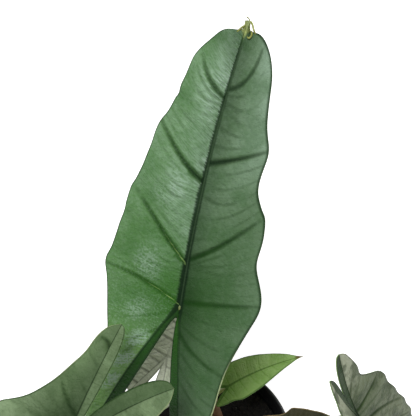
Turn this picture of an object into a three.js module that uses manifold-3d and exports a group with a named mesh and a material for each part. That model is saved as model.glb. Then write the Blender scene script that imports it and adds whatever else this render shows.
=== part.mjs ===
// Potted dragon's breath alocasia: six arrow-shaped leaves on red-brown stalks,
// rising from a knobbly corm and one side shoot in a black nursery pot.
// Millimetres, +Z up, origin at the centre of the pot's foot.
import * as THREE from "three";
import { mergeVertices } from "three/addons/utils/BufferGeometryUtils.js";
import Module from "manifold-3d";

const wasm = await Module();
wasm.setup();

// Driving dimensions
const RIM_HEIGHT = 130;
const RIM_RADIUS = 75;
const FOOT_RADIUS = 53;
const WALL = 1.8;
const BAND_HEIGHT = 14;
const BAND_STEP = 2.6;
const FLOOR_THICKNESS = 2.4;
const FLOOR_LIFT = 2;
const DRAIN_COUNT = 8;
const DRAIN_RADIUS = 5;
const DRAIN_CIRCLE = 36;
const POT_SIDES = 48;

const SOIL_LEVEL = 114;
const SOIL_RELIEF = 1.6;
const SOIL_SIDES = 36;
const SOIL_RINGS = 7;

const GAP = 0.32;
const CROWN = new THREE.Vector2(12, 2);
const CORM_RADIUS = 21;
const CORM_DEPTH = 20;
const CORM_DOME = 7;
const CORM_SIDES = 28;
const SOCKET_FLOOR = 115;
const SOCKET_CLEARANCE = 1;
const STALK_SIDES = 10;
const STALK_STEPS = 14;
const SHOOT = new THREE.Vector2(3, 32);
const SHOOT_DEPTH = 12;

const BLADE_THICKNESS = 0.8;
const RIDGE_DEPTH = 2.2;
const RIDGE_HALF_WIDTH = 2.4;
const VEIN_RIDGE = 0.7;
const VEIN_GROOVE = 0.5;
const PUFF = 1.3;
const WAVE = 1.2;
const STUB_LENGTH = 10;

// The basal lobes: vein rows and plain rows as shares of the lobe rib, with vein strength
const LOBE_ROWS = [
  [0.12, 0], [0.3, 1], [0.45, 0], [0.6, 1], [0.72, 0], [0.84, 1], [0.93, 0], [0.98, 0], [1, 0],
];

// One half of a plain blade, as shares of its length and half width.
// Each row is one line from rib to margin: rib station, margin x, margin y, vein strength, bow.
const TYPICAL_HALF = [
  [1, 0, 1, 0, 0.05],
  [0.955, 0.07, 0.965, 0, 0.05],
  [0.9, 0.17, 0.925, 0, 0.05],
  [0.83, 0.35, 0.885, 0, 0.08],
  [0.74, 0.53, 0.82, 1, 0.12],
  [0.66, 0.64, 0.745, 0, 0.1],
  [0.585, 0.73, 0.67, 1, 0.1],
  [0.51, 0.81, 0.59, 0, 0.08],
  [0.435, 0.88, 0.515, 1, 0.08],
  [0.36, 0.93, 0.44, 0, 0.06],
  [0.29, 0.97, 0.36, 1, 0.06],
  [0.21, 0.99, 0.27, 0, 0.05],
  [0.145, 1, 0.19, 1, 0.05],
  [0.07, 1, 0.11, 0, 0.05],
  [0, 1, 0.04, 1, 0],
];

// ripple draws the margin in between two veins; point narrows the blade toward its tip
function typicalHalf(length, halfWidth, point, ripple) {
  return TYPICAL_HALF.map(([s, x, y, vein, bow]) => {
    const taper = (1 - 0.6 * point * y * y) * (vein ? 1 : 1 - 0.05 * ripple);
    return [s * length, x * halfWidth * taper, y * length, vein, bow];
  });
}

// The large blade has its own rows, in millimetres, with the drip tip first
const MAIN_RIGHT = [
  [228, 0, 228, 0, 0], [221, 1.6, 221, 0, 0], [215, 2.1, 215, 0, 0], [210, 2.3, 210, 0, 0],
  [205.5, 3, 205.5, 0, 0], [202, 8.5, 206.5, 0, 0.05], [188, 15.8, 201.5, 0, 0.15],
  [163, 23.6, 191, 1, 0.25], [155, 30.4, 177, 0, 0.2], [146, 34.2, 154, 0.4, 0.25],
  [126, 37.4, 136, 0, 0.1], [106, 44, 118, 1, 0.05], [94, 41.8, 104, 0, 0.1],
  [82, 42.4, 91, 0.5, 0.2], [60, 47, 80, 0, 0.1], [35, 52.8, 71, 1, 0.05],
  [28, 54.2, 55, 0, 0.1], [20, 51.8, 41, 0.5, 0.15], [10, 56.4, 28, 0, 0.05], [0, 62.8, 12, 1, 0],
];
const MAIN_LEFT = [
  [228, 0, 228, 0, 0], [221, 1.6, 221, 0, 0], [215, 2.1, 215, 0, 0], [210, 2.3, 210, 0, 0],
  [205.5, 3, 205.5, 0, 0], [203, 8.5, 207.5, 0, 0.05], [192, 16.5, 205, 0, 0.1],
  [176, 22.5, 197, 0, 0.1], [157, 30.4, 184, 1, 0.15], [145, 33.2, 170, 0, 0.1],
  [137, 34, 157, 0.3, 0.05], [126, 35.2, 148, 0.7, 0.05], [110, 38.6, 138, 0, 0.05],
  [94, 42.2, 128, 1, 0.05], [86, 44.6, 112, 0, 0.1], [77, 45.2, 100, 0.5, 0.15],
  [55, 49.2, 86, 0, 0.05], [32, 51.2, 78, 1, 0.05], [28, 52.6, 60, 0, 0.1],
  [24, 54.2, 46, 0.5, 0.15], [12, 57.2, 33, 0, 0.05], [0, 59.6, 24, 1, 0],
];

// Leaves. attach: where the stalk meets the blade, height above the rim; heading: degrees from +X;
// pitch: rise of the blade at the stalk; arch, lobeArch: degrees of bend along each;
// fold: rise of each half; lobes: rib bow point, tip, outer width near and far, fall-off, inner width.
const LEAVES = [
  {
    name: "main", attach: [-21.7, 52.4, 200], heading: 79.5, pitch: 33, roll: -6,
    length: 228, curlFrom: 206, curl: -225, sweep: 15, arch: 17, lobe: 116, lobeArch: 22,
    fold: { left: 6, right: 10 }, notch: 10.5, ripple: 1, steps: 2,
    half: { left: MAIN_LEFT, right: MAIN_RIGHT },
    lobes: {
      left: { bow: [-31, -46], tip: [-56, -108], outer: [47, 18, 2], inner: 9, wave: 3.2 },
      right: { bow: [7, -50], tip: [12, -116], outer: [49.5, 21, 1.15], inner: 8, wave: 1.5 },
    },
    onCorm: true, root: [7.5, 14.2], rootRadius: 5.4, topRadius: 3.6,
    route: [[8, 17, 15], [4.5, 21, 38], [2, 22.5, 66], [-4, 30, 112], [-11, 40, 152], [-18, 49, 185]],
    tint: 0x5f8056, stalkTint: 0x6b5335,
  },
  {
    name: "front", attach: [-99, -51, 200], heading: 226, pitch: -14, roll: 0,
    length: 205, curlFrom: 205, curl: 0, sweep: -10, arch: 18, lobe: 92, lobeArch: 6,
    fold: { left: 6, right: 8 }, notch: 10, ripple: 1, steps: 1,
    half: { left: typicalHalf(205, 54, 0, 1), right: typicalHalf(205, 57, 0, 1) },
    lobes: {
      left: { bow: [-9, -42], tip: [-29.5, -80], outer: [49, 13, 1.7], inner: 13, wave: 1.5 },
      right: { bow: [15.5, -41], tip: [29, -87], outer: [52.5, 13, 2.3], inner: 8.5, wave: -2 },
    },
    onCorm: true, root: [2, -6.4], rootRadius: 5.2, topRadius: 3.2,
    route: [[-4, -10, 30], [-18, -16, 75], [-45, -28, 125], [-75, -41, 167]],
    tint: 0x5e7557, stalkTint: 0x6f5638,
  },
  {
    name: "right", attach: [111.1, -16.5, 150], heading: -20, pitch: -62, roll: 0,
    length: 160, curlFrom: 160, curl: 0, sweep: 0, arch: 14, lobe: 71, lobeArch: 0,
    fold: { left: 12, right: 22 }, notch: 9, ripple: 0.4, steps: 1,
    half: { left: typicalHalf(160, 39, -2, 0.4), right: typicalHalf(160, 42, 0, 0.4) },
    lobes: {
      left: { bow: [-5, -35], tip: [-18.5, -69], outer: [46, 11, 2.2], inner: 6.5, wave: 6.5 },
      right: { bow: [6, -28], tip: [0, -62], outer: [41, 7.5, 1.5], inner: 5.5, wave: 1.5 },
    },
    onCorm: true, root: [24.2, -2.5], rootRadius: 5, topRadius: 3,
    route: [[23, -4, 40], [19, -9, 82], [31, -17, 112], [55, -21, 137], [84, -20, 149]],
    tint: 0x66755a, stalkTint: 0x6a5136,
  },
  {
    name: "back", attach: [-34, 42, 115], heading: 66, pitch: 8, roll: 0,
    length: 95, curlFrom: 95, curl: 0, sweep: 0, arch: 20, lobe: 48, lobeArch: 0,
    fold: { left: 5, right: 5 }, notch: 8, ripple: 0.8, steps: 1,
    half: { left: typicalHalf(95, 28, 0, 0.8), right: typicalHalf(95, 20, 0, 0.8) },
    lobes: {
      left: { bow: [-8, -16], tip: [-16.5, -38], outer: [26, 12, 1.4], inner: 6, wave: 1 },
      right: { bow: [7, -18], tip: [10, -44], outer: [19, 11, 1.4], inner: 8, wave: 1 },
    },
    onCorm: true, root: [-0.8, 4.3], rootRadius: 4.6, topRadius: 2.6,
    route: [[-8, 7, 25], [-20, 18, 62], [-30, 32, 95]],
    tint: 0x85867a, stalkTint: 0x6d5a3c,
  },
  {
    name: "young", attach: [16.8, 30.6, 72], heading: 28, pitch: 14, roll: 0,
    length: 67, curlFrom: 67, curl: 0, sweep: 10, arch: 8, lobe: 20, lobeArch: 0,
    fold: { left: 14, right: 14 }, notch: 5, ripple: 0.2, steps: 1,
    half: { left: typicalHalf(67, 17, 0.8, 0.2), right: typicalHalf(67, 17.5, 1.5, 0.2) },
    lobes: {
      left: { bow: [-5, -8], tip: [-11, -17], outer: [15, 5, 1.2], inner: 3, wave: 0.5 },
      right: { bow: [5, -8], tip: [11, -17], outer: [15.5, 5, 1.2], inner: 3, wave: 0.5 },
    },
    onCorm: false, root: [SHOOT.x, SHOOT.y], rootRadius: 3, topRadius: 1.8,
    route: [[3.5, 33, 10], [7, 33.5, 40]],
    tint: 0x6f8f4f, stalkTint: 0x7c8a48,
  },
  {
    name: "low", attach: [60, -25.5, 84], heading: -4, pitch: -9, roll: 0,
    length: 84, curlFrom: 84, curl: 0, sweep: 0, arch: 14, lobe: 38, lobeArch: 0,
    fold: { left: 4, right: 6 }, notch: 6, ripple: 0.3, steps: 1,
    half: { left: typicalHalf(84, 35, 0, 0), right: typicalHalf(84, 33, 0.2, 0.2) },
    lobes: {
      left: { bow: [-7, -15], tip: [-16, -32], outer: [33, 12, 1.1], inner: 5.5, wave: 0 },
      right: { bow: [7, -15], tip: [16, -33], outer: [29, 12, 1.2], inner: 5.5, wave: 0.8 },
    },
    onCorm: true, root: [13.1, -10.9], rootRadius: 4.6, topRadius: 2.6,
    route: [[14.5, -12.6, 4], [24, -18.5, 26], [40, -23, 54]],
    tint: 0x5a5538, stalkTint: 0x6a4f33,
  },
];

const COLUMNS = [0, 0.08, 0.3, 0.55, 0.8, 1];
const INNER_COLUMNS = [0, 0.5, 1];
const SIDES = { left: -1, right: 1 };

// Hermite curve through rows of numbers, at a position counted in rows
function smoothRow(rows, position) {
  const last = rows.length - 1;
  const i = Math.min(Math.floor(position), last - 1);
  const f = position - i;
  const at = (k, c) => {
    if (k < 0) return 2 * rows[0][c] - rows[1][c];
    if (k > last) return 2 * rows[last][c] - rows[last - 1][c];
    return rows[k][c];
  };
  return rows[0].map((_, c) => {
    const slopeIn = (at(i + 1, c) - at(i - 1, c)) / 2;
    const slopeOut = (at(i + 2, c) - at(i, c)) / 2;
    const f2 = f * f;
    const f3 = f2 * f;
    return (2 * f3 - 3 * f2 + 1) * at(i, c) + (f3 - 2 * f2 + f) * slopeIn
      + (3 * f2 - 2 * f3) * at(i + 1, c) + (f3 - f2) * slopeOut;
  });
}

// Midrib for a positive station, lobe rib for a negative one
function ribPoint(leaf, side, station) {
  if (station >= 0) return new THREE.Vector2(0, station);
  const q = -station / leaf.lobe;
  const { bow, tip } = leaf.lobes[side];
  return new THREE.Vector2(
    2 * q * (1 - q) * bow[0] + q * q * tip[0],
    2 * q * (1 - q) * bow[1] + q * q * tip[1],
  );
}

// Unit vector across the lobe rib, away from the sinus
function lobeOutward(leaf, side, q) {
  const { bow, tip } = leaf.lobes[side];
  const along = new THREE.Vector2(
    2 * (1 - 2 * q) * bow[0] + 2 * q * tip[0],
    2 * (1 - 2 * q) * bow[1] + 2 * q * tip[1],
  ).normalize();
  return new THREE.Vector2(-along.y, along.x).multiplyScalar(SIDES[side]);
}

const roundedEnd = (q) => Math.sqrt(Math.max(0, 1 - q ** 8));

function lobeOuterEdge(leaf, side, q) {
  const { outer, wave } = leaf.lobes[side];
  const width = outer[1] + (outer[0] - outer[1]) * (1 - q) ** outer[2]
    + wave * (1 - q) * Math.cos(4 * Math.PI * (q - 0.2));
  const edge = lobeOutward(leaf, side, q).multiplyScalar(width * roundedEnd(q));
  return ribPoint(leaf, side, -q * leaf.lobe).add(edge);
}

function lobeInnerEdge(leaf, side, q) {
  const width = leaf.lobes[side].inner * roundedEnd(q) * (1 - Math.exp(-q / 0.3));
  const edge = lobeOutward(leaf, side, q).multiplyScalar(-width);
  const notch = new THREE.Vector2(0, -leaf.notch * Math.exp(-q / 0.07));
  return ribPoint(leaf, side, -q * leaf.lobe).add(edge).add(notch);
}

// All rows of one half, from the tip of the blade to the tip of its lobe
function halfRows(leaf, side) {
  const sign = SIDES[side];
  const rows = leaf.half[side].map(([s, x, y, vein, bow]) => [s, sign * x, y, vein, bow]);
  const last = rows[rows.length - 1];
  const first = lobeOuterEdge(leaf, side, 0);
  for (const [q, vein] of LOBE_ROWS) {
    const fade = (1 - q) ** 4;
    const edge = lobeOuterEdge(leaf, side, q);
    const station = -q * (0.55 + 0.45 * q) * leaf.lobe;
    rows.push([station, edge.x + (last[1] - first.x) * fade, edge.y + (last[2] - first.y) * fade, vein, 0]);
  }
  return rows;
}

// Share of the way from one vein row to the next, at a position counted in rows
function betweenVeins(rows, position) {
  const veins = rows.map((row, i) => (row[3] > 0 ? i : -1)).filter((i) => i >= 0);
  const after = veins.find((i) => i > position);
  const before = veins.filter((i) => i <= position).pop();
  if (after === undefined || before === undefined) return 0;
  return (position - before) / (after - before);
}

// Bends the flat blade: x across, y along the midrib, n off its upper face
function poseBlade(leaf) {
  const turn = new THREE.Matrix4().makeRotationZ(THREE.MathUtils.degToRad(leaf.heading - 90))
    .multiply(new THREE.Matrix4().makeRotationX(THREE.MathUtils.degToRad(leaf.pitch)))
    .multiply(new THREE.Matrix4().makeRotationY(THREE.MathUtils.degToRad(leaf.roll)));
  const curlLength = Math.max(leaf.length - leaf.curlFrom, 1);
  const bends = [
    { rate: THREE.MathUtils.degToRad(leaf.lobeArch) / leaf.lobe, span: (y) => Math.min(y, 0) },
    {
      rate: THREE.MathUtils.degToRad(leaf.arch) / leaf.length,
      span: (y) => Math.min(Math.max(y, 0), leaf.curlFrom),
    },
    { rate: THREE.MathUtils.degToRad(leaf.curl) / curlLength, span: (y) => Math.max(y - leaf.curlFrom, 0) },
  ];
  return (x, y, n) => {
    const fold = THREE.MathUtils.degToRad(x < 0 ? leaf.fold.left : leaf.fold.right);
    const off = n + Math.abs(x) * Math.sin(fold);
    let angle = 0;
    let along = 0;
    let drop = 0;
    for (const { rate, span } of bends) {
      const length = span(y);
      const next = angle + rate * length;
      if (Math.abs(rate) < 1e-6) {
        along += length * Math.cos(angle);
        drop += length * Math.sin(angle);
      } else {
        along += (Math.sin(next) - Math.sin(angle)) / rate;
        drop += (Math.cos(angle) - Math.cos(next)) / rate;
      }
      angle = next;
    }
    const across = x * Math.cos(fold) + leaf.sweep * (Math.max(y, 0) / leaf.length) ** 2;
    return new THREE.Vector3(across, along + off * Math.sin(angle), off * Math.cos(angle) - drop)
      .applyMatrix4(turn)
      .add(new THREE.Vector3(leaf.attach[0], leaf.attach[1], leaf.attach[2] + RIM_HEIGHT));
  };
}

// A row's line from rib to margin is a parabola that bows toward the base
function alongRow(start, end, bow, share) {
  const chord = end.clone().sub(start);
  const toBase = new THREE.Vector2(chord.y, -chord.x);
  if (toBase.y > 0) toBase.negate();
  return start.clone().addScaledVector(chord, share)
    .addScaledVector(toBase, 2 * share * (1 - share) * bow);
}

// Surface points of one strip: rows of { x, y, n, thick }
function outerStrip(leaf, side) {
  const rows = halfRows(leaf, side);
  const count = (rows.length - 1) * leaf.steps;
  const strip = [];
  for (let i = 0; i <= count; i += 1) {
    const position = i / leaf.steps;
    const [station, x, y, , bow] = smoothRow(rows, position);
    const exact = rows[Math.round(position)];
    const onVein = Math.abs(position - Math.round(position)) < 1e-6 ? exact[3] : 0;
    const start = ribPoint(leaf, side, station);
    const end = new THREE.Vector2(x, y);
    const width = start.distanceTo(end);
    const f = betweenVeins(rows, position);
    const size = Math.min(1, width / 25);
    strip.push(COLUMNS.map((column, j) => {
      const share = j === 1 ? Math.min(RIDGE_HALF_WIDTH / Math.max(width, 1), 0.2) : column;
      const point = alongRow(start, end, bow, share);
      const body = 4 * share * (1 - share);
      const n = size * (PUFF * Math.sin(Math.PI * f) * body - VEIN_GROOVE * onVein * body
        + WAVE * leaf.ripple * share * share * (Math.cos(2 * Math.PI * f) - 0.5));
      return { x: point.x, y: point.y, n, thick: thickness(leaf, station, j, onVein * body) };
    }));
  }
  return strip;
}

// Under the ribs and veins the blade is thicker
function thickness(leaf, station, column, vein) {
  const reach = station >= 0 ? station / leaf.length : -station / leaf.lobe;
  const ridge = column === 0 ? RIDGE_DEPTH * (1 - reach) * Math.min(1, leaf.length / 120) : 0;
  return BLADE_THICKNESS + ridge + VEIN_RIDGE * vein;
}

function innerStrip(leaf, side, outer) {
  const strip = [];
  const rows = halfRows(leaf, side);
  for (let i = 0; i < outer.length; i += 1) {
    const station = smoothRow(rows, i / leaf.steps)[0];
    if (station > 1e-6) continue;
    const q = Math.min(1, Math.max(0, -station / leaf.lobe));
    const start = ribPoint(leaf, side, station);
    const end = lobeInnerEdge(leaf, side, q);
    strip.push(INNER_COLUMNS.map((share, j) => {
      if (j === 0) return outer[i][0];
      const point = start.clone().lerp(end, share);
      return { x: point.x, y: point.y, n: 0, thick: BLADE_THICKNESS };
    }));
  }
  return strip;
}

// Two faces of one strip, split along the same diagonals
function stripTriangles(strip, flip, place, top, bottom) {
  const corner = (p, lift) => place(p.x, p.y, p.n - lift);
  for (let i = 0; i + 1 < strip.length; i += 1) {
    for (let j = 0; j + 1 < strip[i].length; j += 1) {
      const quad = [strip[i][j], strip[i][j + 1], strip[i + 1][j + 1], strip[i + 1][j]];
      if (flip) quad.reverse();
      for (const [a, b, c] of [[0, 1, 2], [0, 2, 3]]) {
        top.push([quad[a], quad[b], quad[c]].map((p) => corner(p, 0)));
        bottom.push([quad[a], quad[b], quad[c]].map((p) => corner(p, p.thick)));
      }
    }
  }
}

const cornerKey = (p) => `${Math.round(p.x * 200)},${Math.round(p.y * 200)},${Math.round(p.z * 200)}`;

// Joins upper and lower faces with a wall along every open edge
function closedShell(top, bottom) {
  const edges = new Map();
  const kept = [];
  top.forEach((upper, t) => {
    const keys = upper.map(cornerKey);
    if (new Set(keys).size < 3) return;
    kept.push(upper, [...bottom[t]].reverse());
    for (let e = 0; e < 3; e += 1) {
      const f = (e + 1) % 3;
      const edge = { upper: [upper[e], upper[f]], lower: [bottom[t][e], bottom[t][f]] };
      const twin = `${keys[f]}|${keys[e]}`;
      if (edges.has(twin)) edges.delete(twin);
      else edges.set(`${keys[e]}|${keys[f]}`, edge);
    }
  });
  for (const { upper, lower } of edges.values()) {
    kept.push([upper[1], upper[0], lower[0]], [upper[1], lower[0], lower[1]]);
  }
  return kept;
}

function solidFromTriangles(triangles) {
  const ids = new Map();
  const vertices = [];
  const faces = [];
  for (const triangle of triangles) {
    const face = triangle.map((p) => {
      const key = cornerKey(p);
      if (!ids.has(key)) {
        ids.set(key, ids.size);
        vertices.push(p.x, p.y, p.z);
      }
      return ids.get(key);
    });
    if (new Set(face).size === 3) faces.push(...face);
  }
  return new wasm.Manifold(new wasm.Mesh({
    numProp: 3,
    vertProperties: new Float32Array(vertices),
    triVerts: new Uint32Array(faces),
  }));
}

function solidFromGeometry(geometry) {
  const plain = geometry.index ? geometry.toNonIndexed() : geometry;
  plain.deleteAttribute("normal");
  plain.deleteAttribute("uv");
  const merged = mergeVertices(plain, 1e-4);
  return new wasm.Manifold(new wasm.Mesh({
    numProp: 3,
    vertProperties: new Float32Array(merged.attributes.position.array),
    triVerts: new Uint32Array(merged.index.array),
  }));
}

function geometryFromSolid(solid) {
  const mesh = solid.getMesh();
  const geometry = new THREE.BufferGeometry();
  geometry.setAttribute("position", new THREE.BufferAttribute(new Float32Array(mesh.vertProperties), 3));
  geometry.setIndex(new THREE.BufferAttribute(new Uint32Array(mesh.triVerts), 1));
  return geometry;
}

// The stalk's centre line, from its root to the blade
function stalkCurve(leaf) {
  const foot = GAP + (leaf.onCorm ? SOCKET_FLOOR : SOIL_LEVEL - SHOOT_DEPTH);
  const top = new THREE.Vector3(leaf.attach[0], leaf.attach[1], leaf.attach[2] + RIM_HEIGHT);
  const points = [new THREE.Vector3(leaf.root[0], leaf.root[1], foot)];
  for (const [x, y, z] of leaf.route) points.push(new THREE.Vector3(x, y, z + RIM_HEIGHT));
  points.push(top);
  return new THREE.CatmullRomCurve3(points, false, "centripetal");
}

// Tapered round bar along part of a curve, with flat ends
function taperedBar(curve, from, to, radiusAt) {
  const rings = [];
  for (let i = 0; i <= STALK_STEPS; i += 1) {
    const share = from + (to - from) * (i / STALK_STEPS);
    const centre = curve.getPointAt(share);
    const along = i === 0 && from === 0 ? new THREE.Vector3(0, 0, 1) : curve.getTangentAt(share);
    const side = new THREE.Vector3(0, 1, 0).cross(along).normalize();
    const other = along.clone().cross(side).normalize();
    rings.push(Array.from({ length: STALK_SIDES }, (_, k) => {
      const turn = (2 * Math.PI * k) / STALK_SIDES;
      return centre.clone()
        .addScaledVector(side, radiusAt(share) * Math.cos(turn))
        .addScaledVector(other, radiusAt(share) * Math.sin(turn));
    }));
  }
  const triangles = [];
  for (let i = 0; i < STALK_STEPS; i += 1) {
    for (let k = 0; k < STALK_SIDES; k += 1) {
      const m = (k + 1) % STALK_SIDES;
      triangles.push([rings[i][k], rings[i][m], rings[i + 1][m]]);
      triangles.push([rings[i][k], rings[i + 1][m], rings[i + 1][k]]);
    }
  }
  for (let k = 1; k + 1 < STALK_SIDES; k += 1) {
    triangles.push([rings[0][0], rings[0][k + 1], rings[0][k]]);
    triangles.push([rings[STALK_STEPS][0], rings[STALK_STEPS][k], rings[STALK_STEPS][k + 1]]);
  }
  return triangles;
}

// The stalk ends below the blade; a short stub of the blade's own green meets it
function stalkShares(leaf) {
  const length = stalkCurve(leaf).getLength();
  const stub = Math.min(STUB_LENGTH, leaf.length * 0.08);
  return { end: 1 - (stub + GAP) / length, stub: 1 - stub / length, length };
}

function stalkRadius(leaf) {
  return (share) => THREE.MathUtils.lerp(leaf.rootRadius, leaf.topRadius, Math.min(1, share * 1.15));
}

function leafStalk(leaf) {
  const triangles = taperedBar(stalkCurve(leaf), 0, stalkShares(leaf).end, stalkRadius(leaf));
  return solidFromTriangles(triangles);
}

function leafStub(leaf) {
  const radius = stalkRadius(leaf);
  const { stub, length } = stalkShares(leaf);
  const narrow = 1 - 3.2 / length;
  const fade = (share) => (share < narrow ? 1 : Math.max(0.16, (1 - share) / (1 - narrow)));
  const end = 1 - 0.3 / length;
  return solidFromTriangles(taperedBar(stalkCurve(leaf), stub, end, (share) => radius(share) * fade(share)));
}

function leafBlade(leaf) {
  const place = poseBlade(leaf);
  const top = [];
  const bottom = [];
  for (const side of Object.keys(SIDES)) {
    const outer = outerStrip(leaf, side);
    const inner = innerStrip(leaf, side, outer);
    stripTriangles(outer, side === "right", place, top, bottom);
    stripTriangles(inner, side === "left", place, top, bottom);
  }
  return solidFromTriangles(closedShell(top, bottom));
}

function lathe(profile, sides) {
  const points = profile.map(([r, z]) => new THREE.Vector2(r, z));
  const geometry = new THREE.LatheGeometry(points, sides);
  geometry.rotateX(Math.PI / 2);
  return solidFromGeometry(geometry);
}

function postAt(x, y, radius, low, high, sides) {
  const geometry = new THREE.CylinderGeometry(radius, radius, high - low, sides);
  geometry.rotateX(Math.PI / 2);
  geometry.translate(x, y, (low + high) / 2);
  return solidFromGeometry(geometry);
}

const wallRadius = (z) => THREE.MathUtils.lerp(FOOT_RADIUS, RIM_RADIUS - BAND_STEP, z / RIM_HEIGHT);

function pot() {
  const bandFoot = RIM_HEIGHT - BAND_HEIGHT;
  const shell = lathe([
    [0, 0],
    [DRAIN_CIRCLE - 9, 0],
    [DRAIN_CIRCLE - 8, FLOOR_LIFT],
    [FOOT_RADIUS - 7, FLOOR_LIFT],
    [FOOT_RADIUS - 6, 0],
    [FOOT_RADIUS - 1, 0],
    [wallRadius(1.2), 1.2],
    [wallRadius(bandFoot - 1), bandFoot - 1],
    [RIM_RADIUS - 0.8, bandFoot],
    [RIM_RADIUS, bandFoot + 1],
    [RIM_RADIUS, RIM_HEIGHT - 1],
    [RIM_RADIUS - 1, RIM_HEIGHT],
    [RIM_RADIUS - 2, RIM_HEIGHT],
    [RIM_RADIUS - BAND_STEP - 0.2, RIM_HEIGHT - 1.2],
    [wallRadius(bandFoot) - WALL + 1, bandFoot + 1],
    [wallRadius(bandFoot) - WALL, bandFoot - 1],
    [wallRadius(FLOOR_LIFT + FLOOR_THICKNESS) - WALL, FLOOR_LIFT + FLOOR_THICKNESS],
    [0, FLOOR_LIFT + FLOOR_THICKNESS],
  ], POT_SIDES);
  let drilled = shell;
  for (let i = 0; i < DRAIN_COUNT; i += 1) {
    const turn = (2 * Math.PI * (i + 0.5)) / DRAIN_COUNT;
    const x = DRAIN_CIRCLE * Math.cos(turn);
    const y = DRAIN_CIRCLE * Math.sin(turn);
    drilled = drilled.subtract(postAt(x, y, DRAIN_RADIUS, -5, 20, 12));
  }
  return drilled;
}

// Low lumps, flat where the corm and the shoot stand
function soilHeight(x, y) {
  const lumps = Math.sin(x * 0.31 + 1.3) * Math.cos(y * 0.27 - 0.4)
    + 0.6 * Math.sin(x * 0.62 - y * 0.55 + 2.1) + 0.4 * Math.cos(x * 0.9 + y * 0.8);
  const crown = Math.hypot(x - CROWN.x, y - CROWN.y) - CORM_RADIUS;
  const shoot = Math.hypot(x - SHOOT.x, y - SHOOT.y) - 4;
  const calm = THREE.MathUtils.clamp(Math.min(crown, shoot) / 12, 0.15, 1);
  return SOIL_LEVEL + SOIL_RELIEF * 0.5 * lumps * calm;
}

function soil() {
  const low = FLOOR_LIFT + FLOOR_THICKNESS + GAP;
  const lowRadius = wallRadius(low) - WALL - GAP - 0.3;
  const highRadius = wallRadius(SOIL_LEVEL - 4) - WALL - GAP - 0.3;
  const centreTop = new THREE.Vector3(0, 0, soilHeight(0, 0));
  const centreLow = new THREE.Vector3(0, 0, low);
  const ring = (radius, z) => Array.from({ length: SOIL_SIDES }, (_, k) => {
    const turn = (2 * Math.PI * k) / SOIL_SIDES;
    const x = radius * Math.cos(turn);
    const y = radius * Math.sin(turn);
    return new THREE.Vector3(x, y, z === null ? soilHeight(x, y) : z);
  });
  const rings = [];
  for (let i = 1; i <= SOIL_RINGS; i += 1) rings.push(ring((highRadius * i) / SOIL_RINGS, null));
  rings.push(ring(highRadius, SOIL_LEVEL - 4), ring(lowRadius, low));
  const triangles = [];
  for (let k = 0; k < SOIL_SIDES; k += 1) {
    const m = (k + 1) % SOIL_SIDES;
    triangles.push([centreTop, rings[0][k], rings[0][m]]);
    for (let i = 0; i + 1 < rings.length; i += 1) {
      triangles.push([rings[i][k], rings[i + 1][k], rings[i + 1][m]]);
      triangles.push([rings[i][k], rings[i + 1][m], rings[i][m]]);
    }
    const foot = rings[rings.length - 1];
    triangles.push([centreLow, foot[m], foot[k]]);
  }
  const cormFoot = SOCKET_FLOOR - CORM_DEPTH - GAP;
  const cormHole = postAt(CROWN.x, CROWN.y, CORM_RADIUS + GAP, cormFoot, 160, CORM_SIDES);
  const shootHole = postAt(SHOOT.x, SHOOT.y, 3 + 2 * GAP, SOIL_LEVEL - SHOOT_DEPTH, 160, 16);
  return solidFromTriangles(triangles).subtract(cormHole).subtract(shootHole);
}

// Squat knob with the rings that old leaf bases leave, and a plain socket for each stalk
function corm() {
  const foot = SOCKET_FLOOR - CORM_DEPTH;
  const knob = lathe([
    [0, foot], [12, foot], [17, foot + 3], [CORM_RADIUS - 1, foot + 8], [CORM_RADIUS, foot + 12],
    [CORM_RADIUS - 0.8, foot + 14], [CORM_RADIUS, foot + 16], [CORM_RADIUS - 0.8, SOCKET_FLOOR],
    [CORM_RADIUS - 2.8, SOCKET_FLOOR + 3], [CORM_RADIUS - 7, SOCKET_FLOOR + 5.4],
    [CORM_RADIUS - 13, SOCKET_FLOOR + CORM_DOME - 0.4], [0, SOCKET_FLOOR + CORM_DOME],
  ], CORM_SIDES);
  const sockets = LEAVES.filter((leaf) => leaf.onCorm).map((leaf) => {
    const radius = leaf.rootRadius + SOCKET_CLEARANCE;
    return postAt(leaf.root[0], leaf.root[1], radius, SOCKET_FLOOR, 160, 16);
  });
  return sockets.reduce((solid, socket) => solid.subtract(socket), knob.translate([CROWN.x, CROWN.y, 0]));
}

const plant = new THREE.Group();

function addNode(name, solid, color, roughness) {
  const material = new THREE.MeshStandardMaterial({ color, roughness, metalness: 0 });
  const mesh = new THREE.Mesh(geometryFromSolid(solid), material);
  mesh.name = name;
  plant.add(mesh);
}

addNode("pot", pot(), 0x14141a, 0.45);
addNode("soil", soil(), 0x1b1612, 1);
addNode("corm", corm(), 0x5a4330, 0.9);
for (const leaf of LEAVES) {
  addNode(`leaf_${leaf.name}`, leafBlade(leaf).add(leafStub(leaf)), leaf.tint, 0.5);
  addNode(`petiole_${leaf.name}`, leafStalk(leaf), leaf.stalkTint, 0.55);
}

export default plant;
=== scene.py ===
# %% [markdown]
# # A potted dragon's breath alocasia
#
# Six arrow-shaped leaves stand on red-brown stalks, which grow from a knobbly corm in a plain
# black nursery pot. The part's solids are loaded first, as a fixed frame. Every surface that can
# be seen is then worked out again, finer, from the same sizes, and takes its solid's place.
# Lengths are millimetres here. They become metres only where a mesh is made.

# %% Load the solids
import math

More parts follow.
